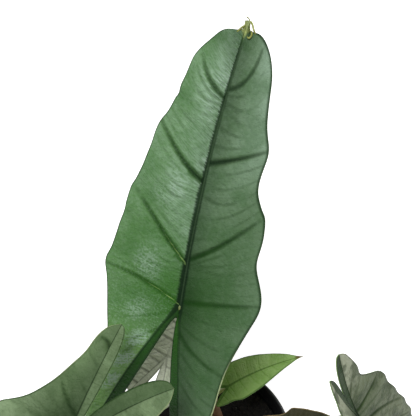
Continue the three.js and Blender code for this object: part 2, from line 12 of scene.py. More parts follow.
import bmesh
import bpy
import mathutils
import numpy as np
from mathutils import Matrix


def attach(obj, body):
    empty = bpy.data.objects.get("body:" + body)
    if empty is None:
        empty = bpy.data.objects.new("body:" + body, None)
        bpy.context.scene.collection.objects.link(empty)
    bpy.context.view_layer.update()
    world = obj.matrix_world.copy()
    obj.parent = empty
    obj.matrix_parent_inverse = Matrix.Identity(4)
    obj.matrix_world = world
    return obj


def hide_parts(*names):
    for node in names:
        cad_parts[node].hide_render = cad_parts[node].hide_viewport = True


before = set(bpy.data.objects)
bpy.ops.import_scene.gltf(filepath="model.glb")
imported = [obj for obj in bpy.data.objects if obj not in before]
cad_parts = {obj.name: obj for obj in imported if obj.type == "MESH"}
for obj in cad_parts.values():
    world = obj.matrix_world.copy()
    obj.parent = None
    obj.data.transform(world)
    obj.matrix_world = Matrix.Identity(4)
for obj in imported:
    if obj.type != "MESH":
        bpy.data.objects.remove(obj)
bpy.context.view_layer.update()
MM = 0.001
print("solids:", ", ".join(sorted(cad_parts)))

# %% [markdown]
# ## Camera
#
# The photograph looks steeply down on the plant from the front, so near leaves are drawn larger
# than the pot. The camera's height and slope come from the ellipse of the pot's rim. A long lens
# from close to a metre away keeps that perspective.

# %% Place the camera
PICTURE_SIDE = 416
FOCAL_LENGTH_IN_PIXELS = 900
SENSOR = 36.0
LOOK_DOWN = 62
CAMERA_PLACE = (-0.9, -193.0, 942.0)

camera = bpy.data.objects.new("camera", bpy.data.cameras.new("camera"))
camera.data.sensor_width = SENSOR
camera.data.lens = SENSOR * FOCAL_LENGTH_IN_PIXELS / PICTURE_SIDE
camera.data.clip_end = 50
camera.location = [c * MM for c in CAMERA_PLACE]
camera.rotation_euler = (math.radians(90 - LOOK_DOWN), 0, 0)
bpy.context.scene.collection.objects.link(camera)
bpy.context.scene.camera = camera
bpy.context.scene.view_settings.view_transform = "Standard"
print("lens", round(camera.data.lens, 1), "mm")

# %% [markdown]
# ## Sizes of the leaves
#
# A blade is described flat first: y runs along the midrib from the stalk to the tip, and x
# across it. Each row of a half is one line from rib to margin, and holds the place on the rib,
# the margin's x and y, how bold the vein on that line is, and how far the line bows. The two
# basal lobes have a rib of their own. These are the numbers that the solids were made from.

# %% Rows of one half blade
# A lobe's rows: place along its rib from 0 to 1, and how bold the vein on the row is
LOBE_ROWS = [(0.12, 0), (0.3, 1), (0.45, 0), (0.6, 1), (0.72, 0), (0.84, 1), (0.93, 0), (0.98, 0),
             (1, 0)]
TYPICAL_HALF = [
    (1, 0, 1, 0, 0.05), (0.955, 0.07, 0.965, 0, 0.05), (0.9, 0.17, 0.925, 0, 0.05),
    (0.83, 0.35, 0.885, 0, 0.08), (0.74, 0.53, 0.82, 1, 0.12), (0.66, 0.64, 0.745, 0, 0.1),
    (0.585, 0.73, 0.67, 1, 0.1), (0.51, 0.81, 0.59, 0, 0.08), (0.435, 0.88, 0.515, 1, 0.08),
    (0.36, 0.93, 0.44, 0, 0.06), (0.29, 0.97, 0.36, 1, 0.06), (0.21, 0.99, 0.27, 0, 0.05),
    (0.145, 1, 0.19, 1, 0.05), (0.07, 1, 0.11, 0, 0.05), (0, 1, 0.04, 1, 0),
]
MAIN_TIP = [
    (228, 0, 228, 0, 0), (221, 1.6, 221, 0, 0), (215, 2.1, 215, 0, 0), (210, 2.3, 210, 0, 0),
    (205.5, 3, 205.5, 0, 0),
]
MAIN_RIGHT = MAIN_TIP + [
    (202, 8.5, 206.5, 0, 0.05), (188, 15.8, 201.5, 0, 0.15),
    (163, 23.6, 191, 1, 0.25), (155, 30.4, 177, 0, 0.2), (146, 34.2, 154, 0.4, 0.25),
    (126, 37.4, 136, 0, 0.1), (106, 44, 118, 1, 0.05), (94, 41.8, 104, 0, 0.1),
    (82, 42.4, 91, 0.5, 0.2), (60, 47, 80, 0, 0.1), (35, 52.8, 71, 1, 0.05),
    (28, 54.2, 55, 0, 0.1), (20, 51.8, 41, 0.5, 0.15), (10, 56.4, 28, 0, 0.05),
    (0, 62.8, 12, 1, 0),
]
MAIN_LEFT = MAIN_TIP + [
    (203, 8.5, 207.5, 0, 0.05), (192, 16.5, 205, 0, 0.1),
    (176, 22.5, 197, 0, 0.1), (157, 30.4, 184, 1, 0.15), (145, 33.2, 170, 0, 0.1),
    (137, 34, 157, 0.3, 0.05), (126, 35.2, 148, 0.7, 0.05), (110, 38.6, 138, 0, 0.05),
    (94, 42.2, 128, 1, 0.05), (86, 44.6, 112, 0, 0.1), (77, 45.2, 100, 0.5, 0.15),
    (55, 49.2, 86, 0, 0.05), (32, 51.2, 78, 1, 0.05), (28, 52.6, 60, 0, 0.1),
    (24, 54.2, 46, 0.5, 0.15), (12, 57.2, 33, 0, 0.05), (0, 59.6, 24, 1, 0),
]

# The three large blades' veins: place on the rib, x and y of the vein's middle, x and y of its
# end, and its strength
MAIN_VEINS_LEFT = [
    (154, 14.5, 166, 25, 184, 0.85), (147, 16, 146, 30, 157, 0.25), (125, 18, 132.5, 33, 145, 0.5),
    (91.5, 18.5, 105, 41, 131, 1), (80, 18, 78, 42, 95, 0.4), (30, 20, 50, 46, 78, 1),
    (24, 24, 27, 50, 40, 0.35), (0, 28, 13.5, 57, 22, 0.9), (-7, 15, -21.5, 46, -36, 0.6),
    (-40, 33, -56, 55, -62, 0.25), (-75, 52, -84, 66, -88, 0.2),
]
MAIN_VEINS_RIGHT = [
    (161, 12.5, 170, 17, 193, 0.8), (149, 21, 135, 36, 144, 0.4), (105, 20, 110.5, 42, 119, 1),
    (84, 20, 77.5, 43, 91, 0.4), (33, 22, 47, 49, 71, 1), (29, 28, 27.5, 52, 35, 0.35),
    (2.5, 31, 6, 61, 11.5, 0.9), (-23, 23, -38, 48, -46, 0.7), (-60, 25, -76, 38, -82, 0.3),
]
FRONT_VEINS = [
    (130, 15, 141, 30, 165, 0.8), (95, 22, 106, 42, 130, 0.8), (60, 27, 70, 51, 96, 0.9),
    (28, 28, 36, 54, 56, 0.9),
]
FRONT_VEINS_LEFT = FRONT_VEINS + [
    (4, 27, 8, 53, 18, 0.7), (-20, 24, -20, 45, -14, 0.7), (-52, 26, -52, 37, -48, 0.5),
]
FRONT_VEINS_RIGHT = FRONT_VEINS + [
    (-3, 26, -3, 50, 2, 0.6), (-23, 21, -25, 36, -33, 0.8), (-74, 28.5, -71.5, 35, -70, 0.9),
]
RIGHT_VEINS_LEFT = [
    (112, 17, 122, 38, 146, 0.7), (80, 19, 90, 43, 118, 0.7), (48, 19, 58, 42, 84, 0.8),
    (14, 18, 24.5, 40, 51, 0.9), (-7, 17, -4.5, 36, -5.5, 0.9), (-27, 11, -33, 20, -42, 0.6),
]
RIGHT_VEINS_RIGHT = [
    (112, 12, 122, 26, 140, 0.7), (80, 17, 90, 36, 110, 0.7), (48, 20, 56, 41, 74, 0.8),
    (14, 20, 19, 42, 34, 0.9), (-7, 18, -8, 36, -8, 0.8),
]


def typical_half(length, half_width, point, ripple):
    """Rows of a plain half. The width is a share of half_width, less 0.6·point·y² toward the tip
    and 5%·ripple in between two veins."""
    rows = np.array(TYPICAL_HALF)
    taper = (1 - 0.6 * point * rows[:, 2] ** 2) * np.where(rows[:, 3] > 0, 1, 1 - 0.05 * ripple)
    width = half_width * taper[:, None]
    return rows * [length, 1, length, 1, 1] * np.where([0, 1, 0, 0, 0], width, 1)


print("rows per half:", len(MAIN_LEFT), "large,", len(TYPICAL_HALF), "typical")

# %% The six leaves
RIM_HEIGHT = 130.0
SHOOT = (3, 32)


def sized(length, **sizes):
    """A leaf's sizes by name, in mm and degrees. Where they don't say otherwise, the tip isn't
    curled, nothing is rolled or swept aside, and the stalk stands on the corm."""
    plain = dict(curl_from=length, curl=0, sweep=0, roll=0, lobe_arch=0, on_corm=True)
    return plain | sizes | {"length": length}


LEAVES = {
    "main": sized(
        228, attach=(-21.7, 52.4, 200), heading=79.5, pitch=33, roll=-6, curl_from=206, curl=-225,
        sweep=15, arch=17, lobe=116, lobe_arch=22, fold=(6, 10), notch=10.5, ripple=1,
        halves=(MAIN_LEFT, MAIN_RIGHT),
        lobes=(dict(bow=(-31, -46), tip=(-56, -108), outer=(47, 18, 2), inner=9, wave=3.2),
               dict(bow=(7, -50), tip=(12, -116), outer=(49.5, 21, 1.15), inner=8, wave=1.5)),
        veins=(MAIN_VEINS_LEFT, MAIN_VEINS_RIGHT),
        root=(7.5, 14.2), root_radius=5.4, top_radius=3.6,
        route=[(8, 17, 15), (4.5, 21, 38), (2, 22.5, 66), (-4, 30, 112), (-11, 40, 152),
               (-18, 49, 185)]),
    "front": sized(
        205, attach=(-99, -51, 200), heading=226, pitch=-14, sweep=-10, arch=18, lobe=92,
        lobe_arch=6, fold=(6, 8), notch=10, ripple=1,
        halves=(typical_half(205, 54, 0, 1), typical_half(205, 57, 0, 1)),
        lobes=(dict(bow=(-9, -42), tip=(-29.5, -80), outer=(49, 13, 1.7), inner=13, wave=1.5),
               dict(bow=(15.5, -41), tip=(29, -87), outer=(52.5, 13, 2.3), inner=8.5, wave=-2)),
        veins=(FRONT_VEINS_LEFT, FRONT_VEINS_RIGHT),
        root=(2, -6.4), root_radius=5.2, top_radius=3.2,
        route=[(-4, -10, 30), (-18, -16, 75), (-45, -28, 125), (-75, -41, 167)]),
    "right": sized(
        160, attach=(111.1, -16.5, 150), heading=-20, pitch=-62, arch=14, lobe=71, fold=(12, 22),
        notch=9, ripple=0.4, halves=(typical_half(160, 39, -2, 0.4), typical_half(160, 42, 0, 0.4)),
        lobes=(dict(bow=(-5, -35), tip=(-18.5, -69), outer=(46, 11, 2.2), inner=6.5, wave=6.5),
               dict(bow=(6, -28), tip=(0, -62), outer=(41, 7.5, 1.5), inner=5.5, wave=1.5)),
        veins=(RIGHT_VEINS_LEFT, RIGHT_VEINS_RIGHT),
        root=(24.2, -2.5), root_radius=5, top_radius=3,
        route=[(23, -4, 40), (19, -9, 82), (31, -17, 112), (55, -21, 137), (84, -20, 149)]),
    "back": sized(
        95, attach=(-34, 42, 115), heading=66, pitch=8, arch=20, lobe=48, fold=(5, 5), notch=8,
        ripple=0.8, halves=(typical_half(95, 28, 0, 0.8), typical_half(95, 20, 0, 0.8)),
        lobes=(dict(bow=(-8, -16), tip=(-16.5, -38), outer=(26, 12, 1.4), inner=6, wave=1),
               dict(bow=(7, -18), tip=(10, -44), outer=(19, 11, 1.4), inner=8, wave=1)),
        root=(-0.8, 4.3), root_radius=4.6, top_radius=2.6,
        route=[(-8, 7, 25), (-20, 18, 62), (-30, 32, 95)]),
    "young": sized(
        67, attach=(16.8, 30.6, 72), heading=28, pitch=14, sweep=10, arch=8, lobe=20,
        fold=(14, 14), notch=5, ripple=0.2,
        halves=(typical_half(67, 17, 0.8, 0.2), typical_half(67, 17.5, 1.5, 0.2)),
        lobes=(dict(bow=(-5, -8), tip=(-11, -17), outer=(15, 5, 1.2), inner=3, wave=0.5),
               dict(bow=(5, -8), tip=(11, -17), outer=(15.5, 5, 1.2), inner=3, wave=0.5)),
        root=SHOOT, root_radius=3, top_radius=1.8, on_corm=False,
        route=[(3.5, 33, 10), (7, 33.5, 40)]),
    "low": sized(
        84, attach=(60, -25.5, 84), heading=-4, pitch=-9, arch=14, lobe=38, fold=(4, 6), notch=6,
        ripple=0.3, halves=(typical_half(84, 35, 0, 0), typical_half(84, 33, 0.2, 0.2)),
        lobes=(dict(bow=(-7, -15), tip=(-16, -32), outer=(33, 12, 1.1), inner=5.5, wave=0),
               dict(bow=(7, -15), tip=(16, -33), outer=(29, 12, 1.2), inner=5.5, wave=0.8)),
        root=(13.1, -10.9), root_radius=4.6, top_radius=2.6,
        route=[(14.5, -12.6, 4), (24, -18.5, 26), (40, -23, 54)]),
}
LEFT, RIGHT = 0, 1
OUT = {LEFT: -1, RIGHT: 1}
print("blades, with lobes:", {name: leaf["length"] + leaf["lobe"] for name, leaf in LEAVES.items()})

# %% [markdown]
# ## From rows to a flat outline
#
# A smooth curve through the rows gives a line at any place between two of them. The same cubic
# is used for every number of a row at once, so the work is done on whole arrays.

# %% A smooth curve through rows of numbers
def cubic(t, start, end, slope_start, slope_end):
    """The cubic with these end values and end slopes, at t from 0 to 1."""
    return ((2 * t**3 - 3 * t**2 + 1) * start + (t**3 - 2 * t**2 + t) * slope_start
            + (3 * t**2 - 2 * t**3) * end + (t**3 - t**2) * slope_end)


def smooth_rows(rows, position):
    """Each number follows a cubic from row to row; its slope at a row is half the step from the
    row before to the row after. position counts rows, and may fall between two."""
    rows = np.asarray(rows, float)
    padded = np.vstack([2 * rows[0] - rows[1], rows, 2 * rows[-1] - rows[-2]])
    i = np.minimum(np.floor(position).astype(int), len(rows) - 2)
    before, start, end, after = (padded[i + k] for k in range(4))
    return cubic((position - i)[:, None], start, end, (end - before) / 2, (after - start) / 2)


# %% Ribs and the lobes' two edges
def rib_points(leaf, side, station):
    """(0, station) on the midrib. Below the stalk, with q = -station / lobe, the lobe's rib is
    the curve 2q(1-q)·bow + q²·tip."""
    q = np.clip(-station / leaf["lobe"], 0, 1)[:, None]
    bow, tip = np.array(leaf["lobes"][side]["bow"]), np.array(leaf["lobes"][side]["tip"])
    midrib = np.stack([0 * station, station], -1)
    return np.where(station[:, None] >= 0, midrib, 2 * q * (1 - q) * bow + q * q * tip)


def lobe_outward(leaf, side, q):
    """Unit vector across the lobe's rib, turned away from the notch between the lobes."""
    bow, tip = np.array(leaf["lobes"][side]["bow"]), np.array(leaf["lobes"][side]["tip"])
    along = 2 * (1 - 2 * q)[:, None] * bow + 2 * q[:, None] * tip
    along = along / np.linalg.norm(along, axis=1, keepdims=True)
    return np.stack([-along[:, 1], along[:, 0]], -1) * OUT[side]


def rounded_end(q):
    """√(1 - q⁸): close to 1 along the lobe, then a round fall to 0 at its tip."""
    return np.sqrt(np.maximum(0, 1 - q**8))


def lobe_outer_edge(leaf, side, q):
    """Rib plus a width that falls from near to far as (1-q)^power, with a slow wave on it."""
    near, far, power = leaf["lobes"][side]["outer"]
    wave = leaf["lobes"][side]["wave"] * (1 - q) * np.cos(4 * np.pi * (q - 0.2))
    width = (far + (near - far) * (1 - q) ** power + wave) * rounded_end(q)
    return rib_points(leaf, side, -q * leaf["lobe"]) + lobe_outward(leaf, side, q) * width[:, None]


def lobe_inner_edge(leaf, side, q):
    """Rib less the inner width, and pulled down at the notch where the two lobes join."""
    width = leaf["lobes"][side]["inner"] * rounded_end(q) * (1 - np.exp(-q / 0.3))
    notch = np.stack([0 * q, -leaf["notch"] * np.exp(-q / 0.07)], -1)
    edge = rib_points(leaf, side, -q * leaf["lobe"]) - lobe_outward(leaf, side, q) * width[:, None]
    return edge + notch


# %% All rows of one half, from the blade's tip to its lobe's tip
def half_rows(leaf, side):
    """The blade's rows, then the lobe's. The lobe's margin starts where the blade's ends, and
    the difference fades as (1-q)⁴."""
    blade = np.array(leaf["halves"][side], float) * [1, OUT[side], 1, 1, 1]
    q, vein = np.array(LOBE_ROWS).T
    first = lobe_outer_edge(leaf, side, np.zeros(1))[0]
    edge = lobe_outer_edge(leaf, side, q) + (blade[-1, 1:3] - first) * ((1 - q) ** 4)[:, None]
    station = -q * (0.55 + 0.45 * q) * leaf["lobe"]
    return np.vstack([blade, np.column_stack([station, edge, vein, 0 * q])])


def row_lines(leaf, side, position, shares):
    """Points along each row's line from rib to margin: a straight chord, pushed toward the base
    by 2s(1-s)·bow of its length. Returns the points and the chords' lengths."""
    row = smooth_rows(half_rows(leaf, side), position)
    start = rib_points(leaf, side, row[:, 0])
    chord = row[:, 1:3] - start
    to_base = np.stack([chord[:, 1], -chord[:, 0]], -1)
    to_base = np.where(to_base[:, 1:] > 0, -to_base, to_base) * row[:, 4:]
    push = 2 * shares * (1 - shares)
    points = start[:, None] + chord[:, None] * shares[:, None] + to_base[:, None] * push[:, None]
    return points, np.linalg.norm(chord, axis=1)


at_stalk = half_rows(LEAVES["main"], RIGHT)[len(MAIN_RIGHT) - 1]
print("right margin of the large blade at the stalk:", at_stalk[1:3])

# %% [markdown]
# ## From the flat outline to a living shape
#
# A real blade is never flat: it arches along the midrib, each half rises from the rib as a
# shallow V, the tissue domes up between the veins and sinks into them, and the margin waves.
# All of that is a height above the flat blade, and then one bend of the whole sheet, so the
# fine surface can't drift away from the solid under it.

# %% Bend and place the flat blade
def pose_blade(leaf, x, y, n):
    """Turns (x across, y along, n above) into a place in the frame. Each half is turned up by its
    fold. The midrib is a chain of circle arcs, each with its own bend per millimetre. The tip
    moves sideways by sweep·(y / length)². Then come roll, pitch and heading at the stalk."""
    fold = np.radians(np.where(x < 0, leaf["fold"][LEFT], leaf["fold"][RIGHT]))
    off = n + np.abs(x) * np.sin(fold)
    curl_length = max(leaf["length"] - leaf["curl_from"], 1)
    angle, along, drop = 0 * y, 0 * y, 0 * y
    for bend, length, span in ((leaf["lobe_arch"], leaf["lobe"], np.minimum(y, 0)),
                               (leaf["arch"], leaf["length"], np.clip(y, 0, leaf["curl_from"])),
                               (leaf["curl"], curl_length, np.maximum(y - leaf["curl_from"], 0))):
        rate = math.radians(bend) / length
        turned = angle + rate * span
        if rate:
            along = along + (np.sin(turned) - np.sin(angle)) / rate
            drop = drop + (np.cos(angle) - np.cos(turned)) / rate
        else:
            along = along + span * np.cos(angle)
            drop = drop + span * np.sin(angle)
        angle = turned
    across = x * np.cos(fold) + leaf["sweep"] * (np.maximum(y, 0) / leaf["length"]) ** 2
    bent = np.stack([across, along + off * np.sin(angle), off * np.cos(angle) - drop], -1)
    turn = (mathutils.Matrix.Rotation(math.radians(leaf["heading"] - 90), 3, "Z")
            @ mathutils.Matrix.Rotation(math.radians(leaf["pitch"]), 3, "X")
            @ mathutils.Matrix.Rotation(math.radians(leaf["roll"]), 3, "Y"))
    return bent @ np.array(turn).T + np.array(leaf["attach"]) + [0, 0, RIM_HEIGHT]


# %% Where the rows of both halves meet the rib
CURL_STEP = 0.7
SAME_PLACE = 0.05


def rib_stations(leaf, step):
    """Places on the rib, from the tip down, at most one step apart, with every vein's own place
    among them. Both halves use them, so they join along the rib."""
    knots = {leaf["length"], leaf["curl_from"], 0, -leaf["lobe"]}
    for side in (LEFT, RIGHT):
        rows = half_rows(leaf, side)
        knots |= set(np.round(rows[rows[:, 3] > 0, 0], 4))
    knots = sorted(knots, reverse=True)
    spans = [(a, b, CURL_STEP if b >= leaf["curl_from"] else step)
             for a, b in zip(knots, knots[1:]) if a - b > SAME_PLACE]
    parts = [np.linspace(a, b, max(1, math.ceil((a - b) / near)), endpoint=False)
             for a, b, near in spans]
    return np.concatenate(parts + [[-leaf["lobe"]]])


def positions_of(leaf, side, stations):
    """The place among the rows whose rib station is the given one, read off a dense table."""
    rows = half_rows(leaf, side)
    table = np.linspace(0, len(rows) - 1, 6001)
    falling = np.minimum.accumulate(smooth_rows(rows, table)[:, 0])
    return np.interp(-stations, -falling, table)


# %% Distances to the veins
def vein_curves(leaf, side):
    """Points along each vein, and the veins' strengths. A vein is the parabola through its place
    on the rib, its middle and its end, or else the line of its row."""
    t = np.linspace(0, 1, 21)
    if "veins" in leaf:
        rib, mid_x, mid_y, end_x, end_y, strength = np.array(leaf["veins"][side], float).T
        corners = (rib_points(leaf, side, rib), np.stack([OUT[side] * mid_x, mid_y], -1),
                   np.stack([OUT[side] * end_x, end_y], -1))
        weights = ((1 - t) * (1 - 2 * t), 4 * t * (1 - t), t * (2 * t - 1))
        return sum(corner[:, None] * w[:, None] for corner, w in zip(corners, weights)), strength
    rows = half_rows(leaf, side)
    vein_rows = np.flatnonzero(rows[:, 3] > 0)
    return row_lines(leaf, side, vein_rows.astype(float), t)[0], rows[vein_rows, 3]


FINE_VEIN_PLACES = (0.33, 0.68)


def nearest_vein(leaf, side, points, fine=0.0):
    """For each point the distance to the nearest piece of a vein, how far along that vein it is
    (0 at the rib, 1 at the end), and the vein's strength. If fine is above 0, veins of that
    strength lie a third and two thirds of the way from one vein to the next as well."""
    lines, strength = vein_curves(leaf, side)
    if fine:
        between = [(1 - s) * lines[:-1] + s * lines[1:] for s in FINE_VEIN_PLACES]
        lines = np.concatenate([lines, *between])
        strength = np.concatenate([strength, np.full(len(lines) - len(strength), fine)])
    pieces = lines.shape[1] - 1
    a, step = lines[:, :-1].reshape(-1, 2), np.diff(lines, axis=1).reshape(-1, 2)
    away = points.reshape(-1, 1, 2) - a
    t = np.clip((away * step).sum(-1) / (step * step).sum(-1), 0, 1)
    distance = np.linalg.norm(away - t[..., None] * step, axis=-1)
    best = distance.argmin(1)
    pick = np.arange(len(best)), best
    found = distance[pick], (best % pieces + t[pick]) / pieces, strength[best // pieces]
    return [values.reshape(points.shape[:2]) for values in found]


# %% Places between the vein rows
PLAIN_GAP = 22.0


def between_veins(leaf, side, position, shares, points):
    """The share of the way from one vein row to the next: by row, as one number for each row,
    and by distance, as one for each point, together with the two vein rows' distance in mm.
    Outside the first and the last vein row a gap of PLAIN_GAP is taken."""
    rows = half_rows(leaf, side)
    vein_rows = np.flatnonzero(rows[:, 3] > 0)
    lines, _ = row_lines(leaf, side, vein_rows.astype(float), shares)
    last = len(vein_rows) - 1
    before = np.searchsorted(vein_rows, position + 1e-3) - 1
    inside = (before >= 0) & (before < last)
    b, a = np.clip(before, 0, last), np.clip(before + 1, 0, last)
    by_row = (position - vein_rows[b]) / np.maximum(vein_rows[a] - vein_rows[b], 1)
    by_row = np.where(inside, np.clip(by_row, 0, 1), 0)
    to_before = np.linalg.norm(points - lines[b], axis=2)
    to_after = np.linalg.norm(points - lines[a], axis=2)
    gap = np.where(inside[:, None], np.maximum(to_before + to_after, 1), PLAIN_GAP)
    by_distance = np.where(inside[:, None], to_before / gap, np.minimum(to_before / PLAIN_GAP, 1))
    return by_row, by_distance, gap


# %% Heights of the upper face and the blade's thickness
BLADE_THICKNESS = 0.8
FULL_RELIEF_WIDTH = 25
PUFF, PUFF_REACH = 1.3, 7
WAVE = 1.2
GROOVE_DEPTH, GROOVE_HALF_WIDTH = 0.7, 1.1
CHANNEL_DEPTH, CHANNEL_HALF_WIDTH = 0.5, 2.6
RIB_HALF_WIDTH = 1.1
RIDGE_DEPTH, RIDGE_HALF_WIDTH = 2.2, 1.7
VEIN_RIDGE, VEIN_RIDGE_HALF_WIDTH = 0.7, 1.2
FULL_RIDGE_LENGTH = 120


def hump(distance, half_width):
    """1 at distance 0, and exp(-(distance / half width)²) away from it."""
    return np.exp(-(distance / half_width) ** 2)


def blade_height(leaf, width, shares, by_row, near, strength, to_rib):
    """The tissue puffs up away from the nearest vein, and a groove sinks right at it.
    WAVE·share²·(cos 2πf - ½) lifts the margin at the vein rows and drops it in between. Along
    the rib runs a channel with the rib standing in its middle. Narrow rows have less of all."""
    size = np.minimum(1, width / FULL_RELIEF_WIDTH)[:, None]
    body = 4 * shares * (1 - shares)
    dome = PUFF * body * (1 - hump(near, PUFF_REACH))
    wave = WAVE * leaf["ripple"] * shares**2 * (np.cos(2 * np.pi * by_row[:, None]) - 0.5)
    groove = GROOVE_DEPTH * strength * hump(near, GROOVE_HALF_WIDTH) * np.minimum(1, to_rib / 3)
    channel = CHANNEL_DEPTH * (hump(to_rib, CHANNEL_HALF_WIDTH) - hump(to_rib, RIB_HALF_WIDTH))
    return size * (dome + wave - groove * (1 - shares) ** 0.5 - channel)


def rib_reach(leaf, stations):
    """How far along the rib each row is: 0 at the stalk, 1 at the blade's tip or the lobe's."""
    return np.where(stations >= 0, stations / leaf["length"], -stations / leaf["lobe"])[:, None]


def blade_thickness(leaf, stations, to_rib, near, strength, shares):
    """Thin between veins, with a rounded ridge under each vein and a strong one under the rib
    that fades toward both tips, and is lower in a small leaf."""
    small = min(1, leaf["length"] / FULL_RIDGE_LENGTH)
    ridge = RIDGE_DEPTH * (1 - rib_reach(leaf, stations)) * small * hump(to_rib, RIDGE_HALF_WIDTH)
    body = 4 * shares * (1 - shares)
    vein_ridge = VEIN_RIDGE * strength * body * hump(near, VEIN_RIDGE_HALF_WIDTH)
    return BLADE_THICKNESS + ridge + vein_ridge


# %% [markdown]
# ## What the colours need to know
#
# The colours of a leaf follow its veins. So each point of the blade carries distances, counted
# in half widths of the dark band along the rib or the vein, and masks for the few zones that
# look different: the margin, the fresh tissue at the stalk, the strip inside the lobe's rib.

# %% Values that the skin's material reads
COMB_SPACING = 8.0
FINE_VEIN = 0.36
GLOW_REACH = 36.0
TIP_START = 0.915
TIP_BLEND = 0.03
# The mesh's attributes, and what their three numbers are
VALUES = {"veins": ("rib ratio", "vein ratio", "strength"),
          "comb": ("phase", "comb strength", "tip"),
          "zone": ("edge mm", "at stalk", "inside"), "flat": ("across", "station", "along")}


def skin_values(leaf, side, stations, shares, to_rib, to_edge, near, along, strength, f, gap,
                inside):
    """By the names in VALUES: how many half widths of the dark band a point is from the rib and
    from the nearest vein, and the vein's strength; the phase and the strength of the comb of
    small cross veins, and the dried tip; distance to the margin in mm, the fresh glow at the
    stalk, and 1 inside the lobe's rib; distance from the rib in mm, left of it below 0, the place
    along it, and the place along the vein. The tip's colour starts sooner beside the rib."""
    scale = min(1, leaf["length"] / 200) ** 0.6
    stations = stations[:, None]
    slim = 1 - 0.55 * np.clip(-stations / 15, 0, 1)
    band = slim * (1.2 + 2.1 * (1 - rib_reach(leaf, stations[:, 0])) ** 1.2)
    vein_band = (2.3 - 1.2 * along) * (0.3 + 0.7 * strength)
    comb = (to_rib - gap * (0.25 * f + 0.75 * f * f)) / (COMB_SPACING * scale)
    comb_strength = np.clip((0.9 - f) / 0.3, 0, 1) * np.clip(to_rib / 6, 0, 1) * (1 - shares**3)
    glow = np.exp(-(np.hypot(stations, to_rib) / (GLOW_REACH * scale)) ** 1.3)
    tip_start = leaf["length"] * (TIP_START - 0.04 * hump(to_rib, 3))
    tip = np.clip((stations - tip_start) / (leaf["length"] * TIP_BLEND), 0, 1)
    fading = strength * (1 - 0.6 * along**3)
    values = {"veins": (to_rib / (scale * band), near / (scale * vein_band), fading),
              "comb": (comb, comb_strength, tip), "zone": (to_edge, glow, inside),
              "flat": (OUT[side] * (1 - 2 * inside) * to_rib, stations, along)}
    return {key: np.stack([part + 0 * to_rib for part in parts], -1)
            for key, parts in values.items()}


# %% [markdown]
# ## Joining the surfaces
#
# A blade is eight grids: upper and lower face of two halves, with an outer and an inner strip
# each. They are joined along the ribs, and thin walls close the margin. Grids that share an
# edge have the same points there, so merging equal points makes one closed skin.


# %% Make one mesh from several grids
def grid_faces(rows, columns, first, flip):
    """The four corners of each quad of a grid whose points are numbered from first."""
    i, j = np.meshgrid(np.arange(rows - 1), np.arange(columns - 1), indexing="ij")
    corner = (first + i * columns + j).ravel()
    quads = np.stack([corner, corner + 1, corner + columns + 1, corner + columns], -1)
    return quads[:, ::-1] if flip else quads


WELD = 0.002


def plain_grid(points, flip=False):
    """A grid in the first material, without values for it."""
    return points, flip, 0, {}


def link_piece(name, mesh):
    """An object for the mesh, which rides on the part's one body."""
    piece = bpy.data.objects.new(name, mesh)
    bpy.context.scene.collection.objects.link(piece)
    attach(piece, "root")
    return piece


def make_piece(name, grids, materials, slot, *replaced):
    """grids holds (points in mm, flip, material number, values by name) for each grid. Equal
    points are merged, and the piece stands for the solids in replaced."""
    points = np.concatenate([grid[0].reshape(-1, 3) for grid in grids]) * MM
    sizes = [grid[0].shape[0] * grid[0].shape[1] for grid in grids]
    firsts = np.concatenate([[0], np.cumsum(sizes)[:-1]])
    faces = [grid_faces(*grid[0].shape[:2], first, grid[1]) for grid, first in zip(grids, firsts)]
    numbers = np.concatenate([np.full(len(part), grid[2]) for part, grid in zip(faces, grids)])
    faces = np.concatenate(faces)
    mesh = bpy.data.meshes.new(name)
    mesh.from_pydata(points, [], faces)
    for material in materials:
        mesh.materials.append(material)
    mesh.polygons.foreach_set("material_index", numbers)
    mesh.polygons.foreach_set("use_smooth", np.ones(len(faces), bool))
    for key in grids[0][3]:
        values = np.concatenate([grid[3][key].reshape(-1, 3) for grid in grids])
        layer = mesh.attributes.new(key, "FLOAT_VECTOR", "CORNER")
        layer.data.foreach_set("vector", values[faces.ravel()].astype(np.float32).ravel())
    skin = bmesh.new()
    skin.from_mesh(mesh)
    bmesh.ops.remove_doubles(skin, verts=skin.verts, dist=WELD * MM)
    open_edges = sum(not edge.is_manifold for edge in skin.edges)
    skin.to_mesh(mesh)
    skin.free()
    piece = link_piece(name, mesh)
    if replaced:
        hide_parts(*replaced)
    print(name, len(mesh.polygons), "faces,", open_edges, "open edges")


# %% The grids of a blade
INNER_SHARES = np.linspace(0, 1, 9)
NO_VEIN_NEAR = 99.0
NO_COMB = 0.95
SMOOTHING_ROUNDS = 20


def crowded_shares(columns):
    """Shares from rib to margin, closer together at both ends: t - 0.6·sin(2πt)/2π."""
    t = np.linspace(0, 1, columns)
    return t - 0.6 * np.sin(2 * np.pi * t) / (2 * np.pi)


def both_faces(leaf, flat, height, thick, flip, values):
    """Upper face, lower face and the wall along the margin (the last column) as three grids."""
    top = pose_blade(leaf, flat[..., 0], flat[..., 1], height)
    low = pose_blade(leaf, flat[..., 0], flat[..., 1], height - thick)
    wall = np.stack([top[:, -1], low[:, -1]], 1)
    wall_values = {key: np.stack([value[:, -1]] * 2, 1) for key, value in values.items()}
    return [(top, flip, 0, values), (low, not flip, 1, values), (wall, flip, 2, wall_values)]


def smooth_margin(points):
    """Evens out the margin: each point moves half way to the mean of its two neighbours, a few
    times over. The ends stay."""
    for _ in range(SMOOTHING_ROUNDS):
        middle = points[1:-1] / 2 + (points[:-2] + points[2:]) / 4
        points = np.concatenate([points[:1], middle, points[-1:]])
    return points


